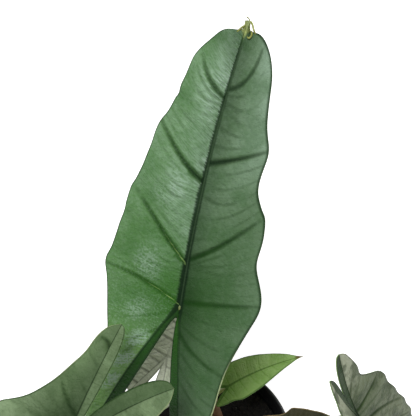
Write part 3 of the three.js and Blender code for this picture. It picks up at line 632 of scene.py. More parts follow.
def blade_grids(leaf, step, columns):
    """All grids of one blade, with what the skin's colours need at each point: for each half the
    outer strip from rib to margin, then the lobe's inner strip from its rib to the notch."""
    stations = rib_stations(leaf, step)
    shares = crowded_shares(columns)
    lobe = stations <= 0
    grids = []
    for side in (LEFT, RIGHT):
        position = positions_of(leaf, side, stations)
        flat, width = row_lines(leaf, side, position, shares)
        flat[:, 0] = rib_points(leaf, side, stations)
        shift = smooth_margin(flat[:, -1]) - flat[:, -1]
        flat += shift[:, None] * (shares**2)[:, None]
        to_rib = width[:, None] * shares
        near, along, strength = nearest_vein(leaf, side, flat)
        by_row, f, gap = between_veins(leaf, side, position, shares, flat)
        height = blade_height(leaf, width, shares, by_row, near, strength, to_rib)
        thick = blade_thickness(leaf, stations, to_rib, near, strength, shares)
        painted = nearest_vein(leaf, side, flat, FINE_VEIN)
        values = skin_values(leaf, side, stations, shares, to_rib, width[:, None] - to_rib,
                             *painted, f, gap, 0)
        grids += both_faces(leaf, flat, height, thick, side == RIGHT, values)

        start = flat[lobe, 0]
        across = lobe_inner_edge(leaf, side, -stations[lobe] / leaf["lobe"]) - start
        inner = start[:, None] + across[:, None] * INNER_SHARES[:, None]
        to_rib = np.linalg.norm(across, axis=1)[:, None] * INNER_SHARES
        none = 0 * to_rib
        far = none + NO_VEIN_NEAR
        height = blade_height(leaf, leaf["lobe"] + none[:, 0], 0 * INNER_SHARES, none[:, 0],
                              far, none, to_rib)
        thick = blade_thickness(leaf, stations[lobe], to_rib, far, none, INNER_SHARES)
        values = skin_values(leaf, side, stations[lobe], INNER_SHARES, to_rib,
                             to_rib[:, -1:] - to_rib, far, none, none, none + NO_COMB, none, 1)
        grids += both_faces(leaf, inner, height, thick, side == LEFT, values)
    return grids


# %% [markdown]
# ## Finishes of the leaves
#
# A leaf is a waxy skin over soft green tissue: the wax gives broad, soft gloss, and the tissue
# under it gives the colour. This kind is grey-green with a faint silver bloom, dark green along
# rib and veins, and paler below. Much of the light and shade on the leaves is painted into the
# colours as well: sheen and highlights, and shade on one half, in hollows and on the lobes. A
# painted picture for each leaf would do it too, but then none of it could be reused. Here the skin
# is built from each point's distances to rib and veins by the same functions for every leaf. A leaf
# only has its own colours and amounts, because age and the light on it change them.

# %% Colours and nodes
TIMES = {"operation": "MULTIPLY"}
TIMES_PLUS = {"operation": "MULTIPLY_ADD"}
LESS = {"operation": "SUBTRACT"}
SOFT = {"interpolation_type": "SMOOTHSTEP"}


def linear(hex_colour):
    """sRGB hex to linear: c/12.92 below 0.04045, else ((c + 0.055) / 1.055)^2.4."""
    parts = [int(hex_colour[i:i + 2], 16) / 255 for i in (1, 3, 5)]
    return [c / 12.92 if c <= 0.04045 else ((c + 0.055) / 1.055) ** 2.4 for c in parts] + [1]


def add(tree, kind, *values, out=0, named=None, **settings):
    """Adds one shader node with its settings. Values go to its sockets in order, and named ones
    by name: an output is linked, None is left alone, the rest is set. Returns one output."""
    made = tree.nodes.new("ShaderNode" + kind)
    for setting, value in settings.items():
        setattr(made, setting, value)
    by_name = [(made.inputs[key], value) for key, value in (named or {}).items()]
    for socket, value in list(zip(made.inputs, values)) + by_name:
        if isinstance(value, bpy.types.NodeSocket):
            tree.links.new(value, socket)
        elif value is not None:
            socket.default_value = value
    return made.outputs[out] if made.outputs else None


def new_material(name):
    """A node material with nothing in it but the place on the object, its tree and that place."""
    material = bpy.data.materials.new(name)
    material.use_nodes = True
    material.node_tree.nodes.clear()
    return material, material.node_tree, add(material.node_tree, "TexCoord", out=3)


def finish(tree, colour, roughness, height, strength, depth, **more):
    """Ends a material: the bump of a height, depth mm deep, the surface itself and the output.
    more holds further sockets of the surface, with _ for a space."""
    bump = add(tree, "Bump", named={"Height": height, "Strength": strength, "Distance": depth * MM})
    sockets = {"Base Color": colour, "Roughness": roughness, "Normal": bump}
    sockets |= {key.replace("_", " "): value for key, value in more.items()}
    add(tree, "OutputMaterial", add(tree, "BsdfPrincipled", named=sockets))


def per_mm(size):
    """Noise scale for a feature of that many millimetres, as Object coordinates are metres."""
    return 1 / (size * MM)


# %% What a leaf's skin reads
def skin_inputs(tree, place, cloud_mm):
    """The mesh's values by the names in VALUES, and noises of the tissue by their real sizes:
    clouds, a wobble of 6 mm, grain of 1.5 mm, a net of 3 mm cells, and streaks across the rib,
    8 mm long and 1.2 mm wide. Flecks are where streaks and grain add up."""
    at = {}
    for key, names in VALUES.items():
        at[key] = add(tree, "Attribute", attribute_name=key, out=1)
        at |= zip(names, add(tree, "SeparateXYZ", at[key]).node.outputs)
    for key, size, detail in (("clouds", cloud_mm, 3.0), ("wobble", 6, 2.0), ("grain", 1.5, 3.0)):
        at[key] = add(tree, "TexNoise", place, None, per_mm(size), detail)
    at["cells"] = add(tree, "TexVoronoi", place, None, per_mm(3), feature="SMOOTH_F1")
    stretched = add(tree, "VectorMath", at["flat"], (0.13, 0.8, 0.0), **TIMES)
    at["streak"] = add(tree, "TexNoise", stretched, None, 1.0, 3.0)
    at["flecks"] = add(tree, "Math", at["streak"], at["grain"])
    return at


# %% How strong each part of a leaf's skin is
NOWHERE = 400.0
LOOK = dict(
    # Tissue: share of the right half's colour, which paints how light falls on that half (painted
    # shade on most leaves, painted light on the front one), and depth of clouds and net
    right_side_light_share=0.8, cloudy=0.6, cloud_mm=22.0, net=0.12,
    # Silver bloom, mostly painted sheen: an even share, then more left of the rib, at its foot, on
    # the right and on the lobe, less where clouds clear it, painted glossy specks on the lobe, and
    # painted highlight spots of (across, station, radius, depth)
    silver_depth=0.15, rib_silver=0.5, silver_reach=38.0, base_silver=1.0, side_silver=0.0,
    side_from=70.0, lobe_silver=0.0, clear=0.2, gloss_speckle=0.0, highlight_spots=(),
    # Painted shade inside the lobes' ribs, on the right lobe, in the valley right of the rib, at
    # the foot right of the stalk and on the head above a station; painted light on the left lobe;
    # and the glow at the stalk
    inner_depth=0.9, inner_left=None, lobe_shade=0.0, lit_lobe_green=0.0, valley_shade=0.0, base_shade=0.0,
    head_from=NOWHERE, head_shade=0.0, glow=0.5,
    # Dark bands of rib, veins and comb, and a painted highlight along the strong veins near the
    # stalk
    rib_depth=0.97, rib_width=1.0, rib_stop=NOWHERE, lobe_rib=0.5, feather=2.4, vein_depth=0.8,
    vein_width=1.0, comb_depth=0.2, glint=0.0,
    # The margin, dark and then pale: the dark band is partly the margin's own colour and partly
    # painted shade of the turned-down edge
    margin_mm=1.2, margin_left=0.8, margin_right=0.85, pale_edge=0.0, pale_left=0.0,
    # The surface
    rough=0.42, relief=1.0)
print(len(LOOK), "amounts describe a leaf's skin")


# %% [markdown]
# ## Zones of a leaf's skin
#
# On the real leaf no colour ends at a hard line. So each zone is a soft mask: a smooth step
# from one distance to another, or several such steps multiplied. They stand in one table, where
# they are easier to read and to change than as a tree of nodes drawn by hand.

# %% Soft masks
def skin_masks(tree, at, look):
    """Adds masks to at. Each is a smooth step: of what, its low and high limit, and its result
    at low and at high. Then come masks that are the product of others."""
    edge, head = look["margin_mm"], look["head_from"]
    side, stop = look["side_from"], look["rib_stop"]
    steps = {
        # from the rib to both sides
        "right": ("across", -1.0, 1.0, 0.0, 1.0), "left": ("across", -1.5, 0.0, 1.0, 0.0),
        # a lighter strip on the rib's right flank, painted light on the raised rib
        "beside": ("across", -16.0, -3.0, 0.0, 1.0), "lit_keel": ("across", 0.0, 0.5, 0.0, 1.0),
        "keel end": ("across", 0.9, 1.8, 0.25, 0.0),
        # painted shade in the valley right of the rib
        "valley_shade": ("across", 2.0, 20.0, look["valley_shade"], 0.0),
        # painted sheen on the right half's outer part and left of the rib
        "side": ("across", 8.0, 38.0, 0.0, look["side_silver"]),
        "silver_sheen": ("across", -look["silver_reach"], -5.0, 0.3, 1.0),
        # along the rib, from the lobes to the tip
        "lobe": ("station", -50.0, -15.0, 1.0, 0.0), "upper": ("station", 60.0, 110.0, 0.25, 1.0),
        "in lobe": ("station", -40.0, 20.0, 1.0, 0.35), "blade": ("station", -5.0, 5.0, 0.0, 1.0),
        # painted sheen on the lobes, and less of it near the stalk
        "lobe silver": ("station", -50.0, -15.0, look["lobe_silver"], 0.0),
        "low silver": ("station", 10.0, 80.0, look["base_silver"], 1.0),
        "side end": ("station", side, side + 60, 0.0, 1.0),
        # painted shade over the head above a station, where the painted sheen thins
        "head": ("station", head, head + 25, 0.0, look["head_shade"]),
        "tight": ("station", head, head + 25, 1.0, 0.5),
        "lobe rib": ("station", -22.0, 2.0, look["lobe_rib"], look["rib_depth"]),
        "rib end": ("station", 20.0, 150.0, 1.0, 0.8),
        "rib stop": ("station", stop, stop + 14, 1.0, 0.2),
        # a painted highlight along the strong veins near the stalk, on the left
        "glint low": ("station", 40.0, 55.0, look["glint"], 0.0),
        # from a vein, and along it
        "off vein": ("vein ratio", 0.4, 2.6, 0.9, 0.0),
        "glint core": ("vein ratio", 0.06, 0.34, 1.0, 0.0),
        "glint end": ("along", 0.1, 0.6, 1.0, 0.0), "fine": ("strength", 0.5, 0.6, 1.0, 0.0),
        "strong": ("strength", 0.6, 0.8, 0.0, 1.0),
        # from the margin, and outside or inside the lobe's rib
        "edge": ("edge mm", 0.4 * edge, 1.4 * edge, 1.0, 0.0),
        "thin edge": ("edge mm", 0.4, 1.1, 1.0, 0.0), "open": ("inside", 0.0, 1.0, 1.0, 0.0),
        "outside": ("inside", 0.0, 1.0, look["pale_edge"], 0.0),
        # noises
        "cloudy": ("clouds", 0.38, 0.7, 0.0, look["cloudy"]),
        "clear": ("clouds", 0.42, 0.62, 1.0, look["clear"]),
        "gone": ("clouds", 0.44, 0.58, 0.0, 0.9),
        "net": ("cells", 0.15, 0.6, look["net"], 0.0), "flecked": ("flecks", 0.82, 1.14, 0.1, 1.0),
        # glossy specks on the left lobe, painted highlights
        "gloss_speckle": ("grain", 0.5, 0.62, 0.0, look["gloss_speckle"]),
        # streaks of painted sheen across the rib, on the left
        "streaky": ("streak", 0.38, 0.6, 0.5 * look["rib_silver"], look["rib_silver"])}
    for key, (what, *limits) in steps.items():
        at[key] = add(tree, "MapRange", at[what], *limits, **SOFT)
    products = {
        # Among these, painted shade: valley, right lobe, foot and head; painted light: left lobe
        # and the lighter strip on the rib; painted sheen and highlights: bloom, specks and glint
        "bristle": ("left", "beside", "upper"), "valley_shade": ("valley_shade", "right", "open"),
        "bloom_and_sheen": ("left", "silver_sheen", "streaky", "low silver", "tight"), "head": ("head", "left"),
        "gone": ("gone", "fine"), "side": ("side", "side end"),
        "lit lobe": ("left", "lobe", "open"), "shaded lobe": ("right", "lobe"),
        "gloss_speckle": ("gloss_speckle", "in lobe", "left", "open", "clear"),
        "pale edge": ("thin edge", "outside", "lobe"), "lit_keel": ("lit_keel", "keel end", "blade"),
        "foot": ("at stalk", "right"),
        "glint": ("glint core", "glint end", "glint low", "strong", "left")}
    for key, (first, *others) in products.items():
        product = at[first]
        for other in others:
            product = add(tree, "Math", product, at[other], **TIMES)
        at[key] = product


# %% [markdown]
# ## Veins and bloom
#
# The midrib and the veins are dark because they are thick and wet, and the tissue beside them
# isn't evenly so: the bands are ragged. The bloom is partly the wax's own silver and partly light
# that the wax and the air under the skin throw back, brightest where the blade faces the lamp. A
# gloss layer alone would slide over the leaf from view to view, so most of the bloom is painted
# sheen: a colour that keeps its place, strongest left of the rib.

# %% Bands along rib, veins and margin
def skin_bands(tree, at, look):
    """A band is 1 on its line and falls smoothly to 0 at some half widths from it. Noise makes the
    rib's band ragged, and streaks make it bristly on the left. Fine veins are gone in places.
    The comb's lines wander with the clouds. Some amounts differ between left and right."""
    there = add(tree, "Math", 1.0, at["gone"], **LESS)
    at["shown"] = add(tree, "Math", at["strength"], there, **TIMES)
    shift = add(tree, "Math", at["wobble"], 0.5, **LESS)
    feather = add(tree, "Math", at["streak"], 0.5, **LESS)
    feather = add(tree, "Math", feather, at["bristle"], **TIMES)
    from_rib = add(tree, "Math", shift, 0.4, at["rib ratio"], **TIMES_PLUS)
    from_rib = add(tree, "Math", feather, look["feather"], from_rib, **TIMES_PLUS)
    from_vein = add(tree, "Math", shift, 0.5, at["vein ratio"], **TIMES_PLUS)
    from_comb = add(tree, "Math", at["clouds"], 1.3, at["phase"], **TIMES_PLUS)
    from_comb = add(tree, "Math", from_comb, 0.5, operation="PINGPONG")
    bands = {
        "rib band": (from_rib, 0.45 * look["rib_width"], 1.25 * look["rib_width"],
                     "lobe rib", "rib end", "rib stop"),
        "vein band": (from_vein, 0.0, 1.5 * look["vein_width"], "shown"),
        "comb band": (from_comb, 0.0, 0.3, "comb strength")}
    for key, (distance, full, end, *fades) in bands.items():
        band = add(tree, "MapRange", distance, full, end, 1.0, 0.0, **SOFT)
        for fade in fades:
            band = add(tree, "Math", band, at[fade], **TIMES)
        at[key] = band
    # The dark margin band, thin on the left and wide on the right, is partly painted shade
    thin = add(tree, "Math", at["thin edge"], look["margin_left"], **TIMES)
    wide = add(tree, "Math", at["edge"], look["margin_right"], **TIMES)
    # The strip inside a lobe's rib gets painted shade, with its own depth on the left
    inner_left = look["inner_depth"] if look["inner_left"] is None else look["inner_left"]
    sides = {"margin band and shade": (thin, wide), "pale depth": (look["pale_left"], 1.0),
             "inner depth": (inner_left, look["inner_depth"])}
    for key, (left, right) in sides.items():
        at[key] = add(tree, "MapRange", at["right"], 0.0, 1.0, left, right)


# %% The silver bloom and painted sheen
def skin_sheen(tree, at, look):
    """The shares of silver bloom and painted sheen are summed, and clouds clear them. Then come
    the spots of painted highlight: full within a tenth of the radius, none from the radius on,
    and flecked. All of it gives way beside a vein."""
    bloom_and_sheen = add(tree, "Math", at["bloom_and_sheen"], look["silver_depth"])
    for more in ("side", "lobe silver"):
        bloom_and_sheen = add(tree, "Math", bloom_and_sheen, at[more])
    bloom_and_sheen = add(tree, "Math", bloom_and_sheen, at["clear"], **TIMES)
    ground = add(tree, "VectorMath", at["flat"], (1.0, 1.0, 0.0), **TIMES)
    for x, y, radius, depth in look["highlight_spots"]:
        away = add(tree, "VectorMath", ground, (x, y, 0.0), operation="DISTANCE", out=1)
        spot = add(tree, "MapRange", away, 0.1 * radius, radius, depth, 0.0, **SOFT)
        bloom_and_sheen = add(tree, "Math", spot, at["flecked"], bloom_and_sheen, **TIMES_PLUS)
    by_vein = add(tree, "Math", at["off vein"], at["shown"], **TIMES)
    off_veins = add(tree, "Math", 1.0, by_vein, **LESS)
    at["bloom_and_sheen"] = add(tree, "Math", bloom_and_sheen, off_veins, **TIMES)


# %% The waxy skin of a leaf
PALE_EDGE = "#b9c795"
# Painted light on the outer part of the left lobe
LIT_LOBE_GREEN = "#84b84c"
# Colour of the painted highlight along veins
GLINT = "#94b868"


def leaf_skin(name, body, deep, right_side_light, silver_sheen, vein, inner, margin, fresh, tip, **changes):
    """The body's colour gives way right of the rib to that half's own colour, which is painted
    shade on most leaves and painted light on the front one. It is covered layer by layer: each
    layer has a mask, a depth and a colour, and several layers are painted light and shade. Then the
    relief
    is summed: veins and comb sink in, the cells of the net, grain, streaks and bristles stand out.
    The right half and the dark bands are rougher, so they have less of the wax's gloss."""
    look = LOOK | changes
    material, tree, place = new_material(name)
    at = skin_inputs(tree, place, look["cloud_mm"])
    for part in (skin_masks, skin_bands, skin_sheen):
        part(tree, at, look)

    # The right half's colour is painted shade on most leaves and painted light on the front one
    right_side_light_share = add(tree, "Math", at["right"], look["right_side_light_share"], **TIMES)
    colour = add(tree, "MixRGB", right_side_light_share, linear(body), linear(right_side_light))
    # Painted light and shade among the layers: the left lobe's green and the lighter strip on the
    # rib are painted light; the bloom is silver wax and painted sheen, with painted glossy specks
    # and a painted highlight along veins; the strip inside a lobe's rib, the right lobe, the
    # valley, the foot and the head are painted shade; the margin band is partly painted shade
    layers = (
        ("cloudy", 1.0, deep), ("net", 1.0, silver_sheen), ("lit lobe", look["lit_lobe_green"], LIT_LOBE_GREEN),
        ("bloom_and_sheen", 1.0, silver_sheen), ("inside", at["inner depth"], inner),
        ("shaded lobe", look["lobe_shade"], inner), ("comb band", look["comb_depth"], vein),
        ("vein band", look["vein_depth"], vein), ("at stalk", look["glow"], fresh),
        ("valley_shade", 1.0, vein), ("foot", look["base_shade"], vein), ("head", 1.0, vein),
        ("gloss_speckle", 1.0, silver_sheen), ("rib band", 1.0, vein), ("margin band and shade", 1.0, margin),
        ("glint", 1.0, GLINT), ("pale edge", at["pale depth"], PALE_EDGE), ("tip", 1.0, tip),
        ("lit_keel", 1.0, right_side_light))
    for mask, depth, paint in layers:
        share = add(tree, "Math", at[mask], depth, **TIMES)
        colour = add(tree, "MixRGB", share, colour, linear(paint))

    relief = add(tree, "Math", at["cells"], 0.7, **TIMES)
    at["bristles"] = add(tree, "Math", at["bristle"], at["streak"], **TIMES)
    heights = {"vein band": -0.5, "comb band": -2.5 * look["comb_depth"], "grain": 1.5,
               "streak": 0.7, "bristles": 2.6}
    for key, weight in heights.items():
        relief = add(tree, "Math", at[key], weight, relief, **TIMES_PLUS)
    rough = add(tree, "MapRange", at["grain"], 0.3, 0.7, look["rough"] - 0.06, look["rough"] + 0.06)
    rough = add(tree, "Math", at["right"], 0.08, rough, **TIMES_PLUS)
    dark = add(tree, "Math", at["rib band"], at["vein band"], operation="MAXIMUM")
    rough = add(tree, "Math", dark, 0.45, rough, **TIMES_PLUS)
    finish(tree, colour, rough, relief, look["relief"], 0.6, IOR=1.45, Specular_IOR_Level=0.25)
    return material


# %% [markdown]
# ## Six skins, an underside and a margin
#
# The large leaf is in its prime, the front and right ones are older and greyer, the one behind
# is painted pale, as painted light over the shade of the large leaf above it, the young one is
# fresh green and the low one is dying back. All are the same skin with other colours and
# amounts. The underside is paler and has no bloom. The thin wall along the margin is painted
# lighter, as painted light that wraps round the edge.

# %% Skins for the six leaves
SKINS = {
    "main": dict(
        body="#4a7d2e", deep="#31622a", right_side_light="#56704f", silver_sheen="#a6c2aa", vein="#0a240e",
        inner="#18450b", margin="#15330f", fresh="#2a640a", tip="#b9c77a", cloudy=0.4, net=0.08,
        silver_depth=0.145, rib_silver=0.82, silver_reach=36.0, base_silver=0.15, side_silver=0.45,
        clear=0.5, gloss_speckle=0.2, inner_depth=1.0, lobe_shade=0.4, lit_lobe_green=0.55, valley_shade=0.35,
        base_shade=0.6, head_from=165.0, head_shade=0.35, glow=0.9, rib_width=1.1, rib_stop=190.0,
        lobe_rib=0.55, vein_depth=0.9, vein_width=1.3, comb_depth=0.08, glint=0.7, margin_mm=1.9,
        # spots of painted highlight on the left half and on the left lobe
        pale_edge=0.9, relief=1.5, highlight_spots=(
            (-29, 16, 16, 0.8), (-22, 22, 9, 0.3), (-30, 62, 15, 0.25), (-20, 80, 14, 0.25),
            (-8, -36, 11, 1.6), (-8, -54, 11, 1.6), (-8, -74, 11, 1.4), (-22, -15, 12, 0.7))),
    "front": dict(
        body="#4b6437", deep="#33492a", right_side_light="#60834a", silver_sheen="#a6c093", vein="#142610",
        inner="#2c4322", margin="#2c4a1e", fresh="#1c3a0c", tip="#5f7a4a", cloudy=0.25,
        cloud_mm=11.0, silver_depth=0.34, rib_silver=0.15, side_silver=0.6, side_from=-50.0,
        clear=0.6, inner_depth=0.55, inner_left=0.15, valley_shade=0.4, base_shade=0.6, glow=0.9,
        rib_depth=0.9, rib_width=0.6, lobe_rib=0.75, vein_width=0.9, comb_depth=0.06,
        pale_edge=0.5, pale_left=1.0, rough=0.48, relief=1.5),
    "right": dict(
        body="#4e5e39", deep="#2c3a22", right_side_light="#445633", silver_sheen="#a9b096", vein="#162612",
        inner="#213c1a", margin="#1f331b", fresh="#26440f", tip="#5f7a4a", cloudy=0.7,
        cloud_mm=11.0, silver_depth=0.25, rib_silver=0.1, lobe_silver=0.95, rib_width=0.5,
        lobe_rib=0.9, vein_depth=0.9, vein_width=1.3, comb_depth=0.06, rough=0.58, relief=1.5),
    # The leaf behind is painted pale: painted light over the shade of the large leaf above it
    "back": dict(
        body="#dde2cf", deep="#a3aa95", right_side_light="#dae0cc", silver_sheen="#eceee2", vein="#454a3e",
        inner="#c6c9ba", margin="#8a8f7e", fresh="#c0c4b2", tip="#77795f", cloudy=0.9, cloud_mm=9.0,
        rib_silver=0.3, rib_depth=0.3, rib_width=0.8, vein_depth=0.7, comb_depth=0.4, rough=0.6),
    "young": dict(
        body="#98ba6c", deep="#68903e", right_side_light="#8bb05f", silver_sheen="#b8ca98", vein="#3d5d22",
        inner="#5f8440", margin="#4a6e2e", fresh="#587f2c", tip="#6b5a34", silver_depth=0.1,
        rib_silver=0.1, rib_depth=0.7, rib_width=0.7, vein_depth=0.08, vein_width=0.6,
        comb_depth=0.02, rough=0.5),
    "low": dict(
        body="#31301b", deep="#242413", right_side_light="#2d2c19", silver_sheen="#454330", vein="#1f2012",
        inner="#29281a", margin="#8a7650", fresh="#3a3a1f", tip="#5a4626", silver_depth=0.2,
        rib_silver=0.1, rib_width=0.6, vein_depth=0.5, vein_width=0.6, comb_depth=0.1, rough=0.5),
}
UNDERSIDE = dict(
    body="#8a9a7a", deep="#7b8c6c", right_side_light="#8a9a7a", silver_sheen="#a6b39a", vein="#5f6b45",
    inner="#7d8f68", margin="#7f8a66", fresh="#8f9a60", tip="#8f9a60", rib_silver=0.0,
    inner_depth=0.3, rough=0.55)
# The margin's wall faces sideways and catches little light, so its colours are painted lighter:
# painted light that wraps round the edge
LIGHTENED_MARGIN = dict(
    body="#7d9a5c", deep="#6f8c50", right_side_light="#5a7346", silver_sheen="#8a9a78", vein="#3f5a35",
    inner="#6f8c50", margin="#7d9a5c", fresh="#8f9a60", tip="#b9c77a", rib_silver=0.0,
    inner_depth=0.3)
upper_skin = {name: leaf_skin(f"waxy leaf skin, {name}", **look) for name, look in SKINS.items()}
under_skin = leaf_skin("pale underside of a leaf", **UNDERSIDE)
lightened_margin_skin = leaf_skin("thin margin of a leaf, painted lighter", **LIGHTENED_MARGIN)
print(len(bpy.data.materials), "materials so far")

# %% The six blades
BLADE_GRID = {"main": (1.3, 44), "front": (1.5, 36), "right": (1.3, 36), "back": (1.2, 30),
              "young": (1.2, 26), "low": (1.2, 30)}
SLOTS = {"main": "leaf_green", "front": "leaf_green", "right": "leaf_grey", "back": "leaf_grey",
         "young": "leaf_fresh", "low": "leaf_old"}
for name, leaf in LEAVES.items():
    make_piece(f"blade_{name}", blade_grids(leaf, *BLADE_GRID[name]),
               [upper_skin[name], under_skin, lightened_margin_skin], SLOTS[name], f"leaf_{name}")


# %% [markdown]
# ## Stalks
#
# Each leaf hangs on its own fleshy stalk, thick and clasping at the corm and thinner at the
# blade. It is a round bar carried along a smooth curve through a few points, red-brown below
# and turning green where it meets the blade.

# %% The curve through the points of a stalk
SOIL_LEVEL = 114.0
SHOOT_DEPTH = 12.0
GAP = 0.32
SOCKET_FLOOR = 115.0
TOP_GAP = 0.3


def stalk_centres(leaf, count):
    """A centripetal Catmull-Rom curve: between two points it is a cubic whose end slopes come
    from the square roots of the distances to the neighbours. The ends borrow a mirrored point.
    Returns evenly spaced centres and the curve's length."""
    foot = GAP + (SOCKET_FLOOR if leaf["on_corm"] else SOIL_LEVEL - SHOOT_DEPTH)
    above = [[x, y, z + RIM_HEIGHT] for x, y, z in (*leaf["route"], leaf["attach"])]
    points = np.array([[*leaf["root"], foot]] + above, float)
    points = np.vstack([2 * points[0] - points[1], points, 2 * points[-1] - points[-2]])
    steps = np.linalg.norm(np.diff(points, axis=0), axis=1) ** 0.5
    dense = []
    for i in range(1, len(points) - 2):
        p0, p1, p2, p3 = points[i - 1:i + 3]
        d0, d1, d2 = steps[i - 1:i + 2]
        slope_in = d1 * ((p1 - p0) / d0 - (p2 - p0) / (d0 + d1) + (p2 - p1) / d1)
        slope_out = d1 * ((p2 - p1) / d1 - (p3 - p1) / (d1 + d2) + (p3 - p2) / d2)
        dense.append(cubic(np.linspace(0, 1, 200)[:, None], p1, p2, slope_in, slope_out))
    dense = np.concatenate(dense)
    run = np.concatenate([[0], np.cumsum(np.linalg.norm(np.diff(dense, axis=0), axis=1))])
    even = np.linspace(0, run[-1] - TOP_GAP, count)
    return np.stack([np.interp(even, run, dense[:, c]) for c in range(3)], -1), run[-1]


# %% A round bar along a curve
STALK_RINGS = 110
STALK_SIDES = 24


def full_turn(sides):
    """Angles all round. The last repeats the first, so that merging closes the ring."""
    turn = np.linspace(0, 2 * np.pi, sides + 1)
    turn[-1] = 0
    return turn


def bar_grid(centres, radii, sides):
    """Rings of points around the centres. A ring's plane is square to the curve, and its first
    direction is the curve's direction crossed with Y. Both ends close to a point."""
    along = np.gradient(centres, axis=0)
    along /= np.linalg.norm(along, axis=1, keepdims=True)
    side = np.cross([0, 1, 0], along)
    side /= np.linalg.norm(side, axis=1, keepdims=True)
    other = np.cross(along, side)
    turn = full_turn(sides)[:, None]
    ring = np.cos(turn) * side[:, None] + np.sin(turn) * other[:, None]
    grid = centres[:, None] + ring * radii[..., None]
    ends = [np.repeat(centres[[k], None], sides + 1, 1) for k in (0, -1)]
    return np.concatenate([ends[0], grid, ends[1]])


def stalk_grid(leaf):
    """Radius from root to top as in the solid, narrow in the last 3 mm, with seven shallow ribs
    along it. The values are the share of the way up, the mm from the root, and the turn."""
    centres, length = stalk_centres(leaf, STALK_RINGS)
    share = np.linspace(0, 1 - TOP_GAP / length, STALK_RINGS)[:, None]
    turn = np.linspace(0, 2 * np.pi, STALK_SIDES + 1)
    slimmer = leaf["top_radius"] - leaf["root_radius"]
    radius = leaf["root_radius"] + slimmer * np.minimum(1, share * 1.15)
    radius = radius * np.clip((1 - share) * length / 3.2, 0.16, 1)
    ribs = 1 + 0.025 * np.cos(7 * turn) * np.minimum(1, share * 8)
    points = bar_grid(centres, radius * ribs, STALK_SIDES)
    along = np.concatenate([share[:1], share, share[-1:]]) + 0 * turn
    return points, False, 0, {"stalk": np.stack([along, along * length, turn + 0 * along], -1)}


# %% The skin of a stalk
def stalk_skin(name, low, mid, high, blotch):
    """Moist, softly glossy skin: long soft stripes and small blotches over a colour that changes
    from root to blade. The stripes' noise is read on a slim tube, far shorter than the stalk."""
    material, tree, place = new_material(name)
    at = add(tree, "Attribute", attribute_name="stalk", out=1)
    share, run, turn = add(tree, "SeparateXYZ", at).node.outputs
    around = [add(tree, "Math", add(tree, "Math", turn, operation=wave), 2.2, **TIMES)
              for wave in ("COSINE", "SINE")]
    stripes_at = add(tree, "CombineXYZ", add(tree, "Math", run, 0.03, **TIMES), *around)
    stripes = add(tree, "TexNoise", stripes_at, None, 1.6, 3.0)
    spots = add(tree, "TexNoise", place, None, per_mm(3.5), 3.0)
    marks = add(tree, "Math", stripes, spots)
    layers = ((share, 0.0, 0.45, 1.0, mid), (share, 0.8, 1.0, 1.0, high),
              (marks, 0.95, 1.2, 0.75, blotch))
    colour = linear(low)
    for where, start, end, most, paint in layers:
        amount = add(tree, "MapRange", where, start, end, 0.0, most)
        colour = add(tree, "MixRGB", amount, colour, linear(paint))
    finish(tree, colour, 0.42, stripes, 0.3, 0.5, IOR=1.45)
    return material


brown_stalk = stalk_skin("fleshy stalk skin, brown", "#6b4a34", "#7a6142", "#73854a", "#4a3324")
green_stalk = stalk_skin("fleshy stalk skin, young", "#8a8a52", "#84924f", "#7c9150", "#6b5a35")
for name, leaf in LEAVES.items():
    skin, slot = (green_stalk, "stalk_green") if name == "young" else (brown_stalk, "stalk_brown")
    make_piece(f"stalk_{name}", [stalk_grid(leaf)], [skin], slot, f"petiole_{name}")


# %% [markdown]
# ## Dried strands at the drip tip
#
# The large blade ends in a drip tip that has curled over and partly dried. Thin pale strands of
# its torn margin span from the shoulders to the strap, and a brown thread stands off its top.

# %% The strands
STRANDS = [
    ([(-6.8, 204, 0), (-3.9, 208, 1.2), (-1.6, 210.3, 2), (-0.9, 212.8, 2)], 0.75),
    ([(8.7, 204, 0), (5.7, 207.9, 1.2), (3.9, 211, 2), (1.6, 213.4, 2), (-0.9, 213, 2)], 0.75),
    ([(0.9, 213.4, 2), (-0.3, 215.5, 2.4), (-2.6, 216.7, 3)], 0.45),
    ([(4.6, 207, 1.4), (5.8, 202.8, 2.2), (4.6, 200.4, 2.4), (2.6, 201.8, 2)], 0.7),
]


def strand_grid(points, radius):
    """A thin bar through points given flat on the uncurled blade: across, along and above. It
    tapers to a third of its radius at both ends."""
    t = np.linspace(0, len(points) - 1, 40)
    centres = pose_blade(LEAVES["main"] | {"curl": 0}, *smooth_rows(points, t).T)
    radii = radius * np.minimum(1, 0.35 + 4 * np.minimum(t, t[-1] - t) / t[-1])[:, None]
    points = bar_grid(centres, radii, 8)
    return points, False, 0, {"stalk": np.full(points.shape, 0.9)}


dry_strand = stalk_skin("dried leaf strand", "#a9b85c", "#a9b85c", "#8f8a44", "#6f6a34")
make_piece("drip_tip_strands", [strand_grid(*strand) for strand in STRANDS], [dry_strand],
           "leaf_green")


# %% [markdown]
# ## Corm
#
# The stalks rise from a swollen underground stem, a corm, whose top stands out of the mix. It is
# turned like a knob on a lathe, then ringed by the scars of old leaves and roughened.

# %% Random heights without a texture
def value_noise(x, y, size, seed):
    """One random height from -1 to 1 at each corner of a lattice of squares, and in between the
    four corners blended by 3t² - 2t³."""
    table = np.random.RandomState(seed).uniform(-1, 1, (64, 64))
    u, v = np.asarray(x) / size, np.asarray(y) / size
    i, j = np.floor(u).astype(int), np.floor(v).astype(int)
    s, t = u - i, v - j
    s, t = s * s * (3 - 2 * s), t * t * (3 - 2 * t)
    return ((table[i % 64, j % 64] * (1 - s) + table[(i + 1) % 64, j % 64] * s) * (1 - t)
            + (table[i % 64, (j + 1) % 64] * (1 - s) + table[(i + 1) % 64, (j + 1) % 64] * s) * t)


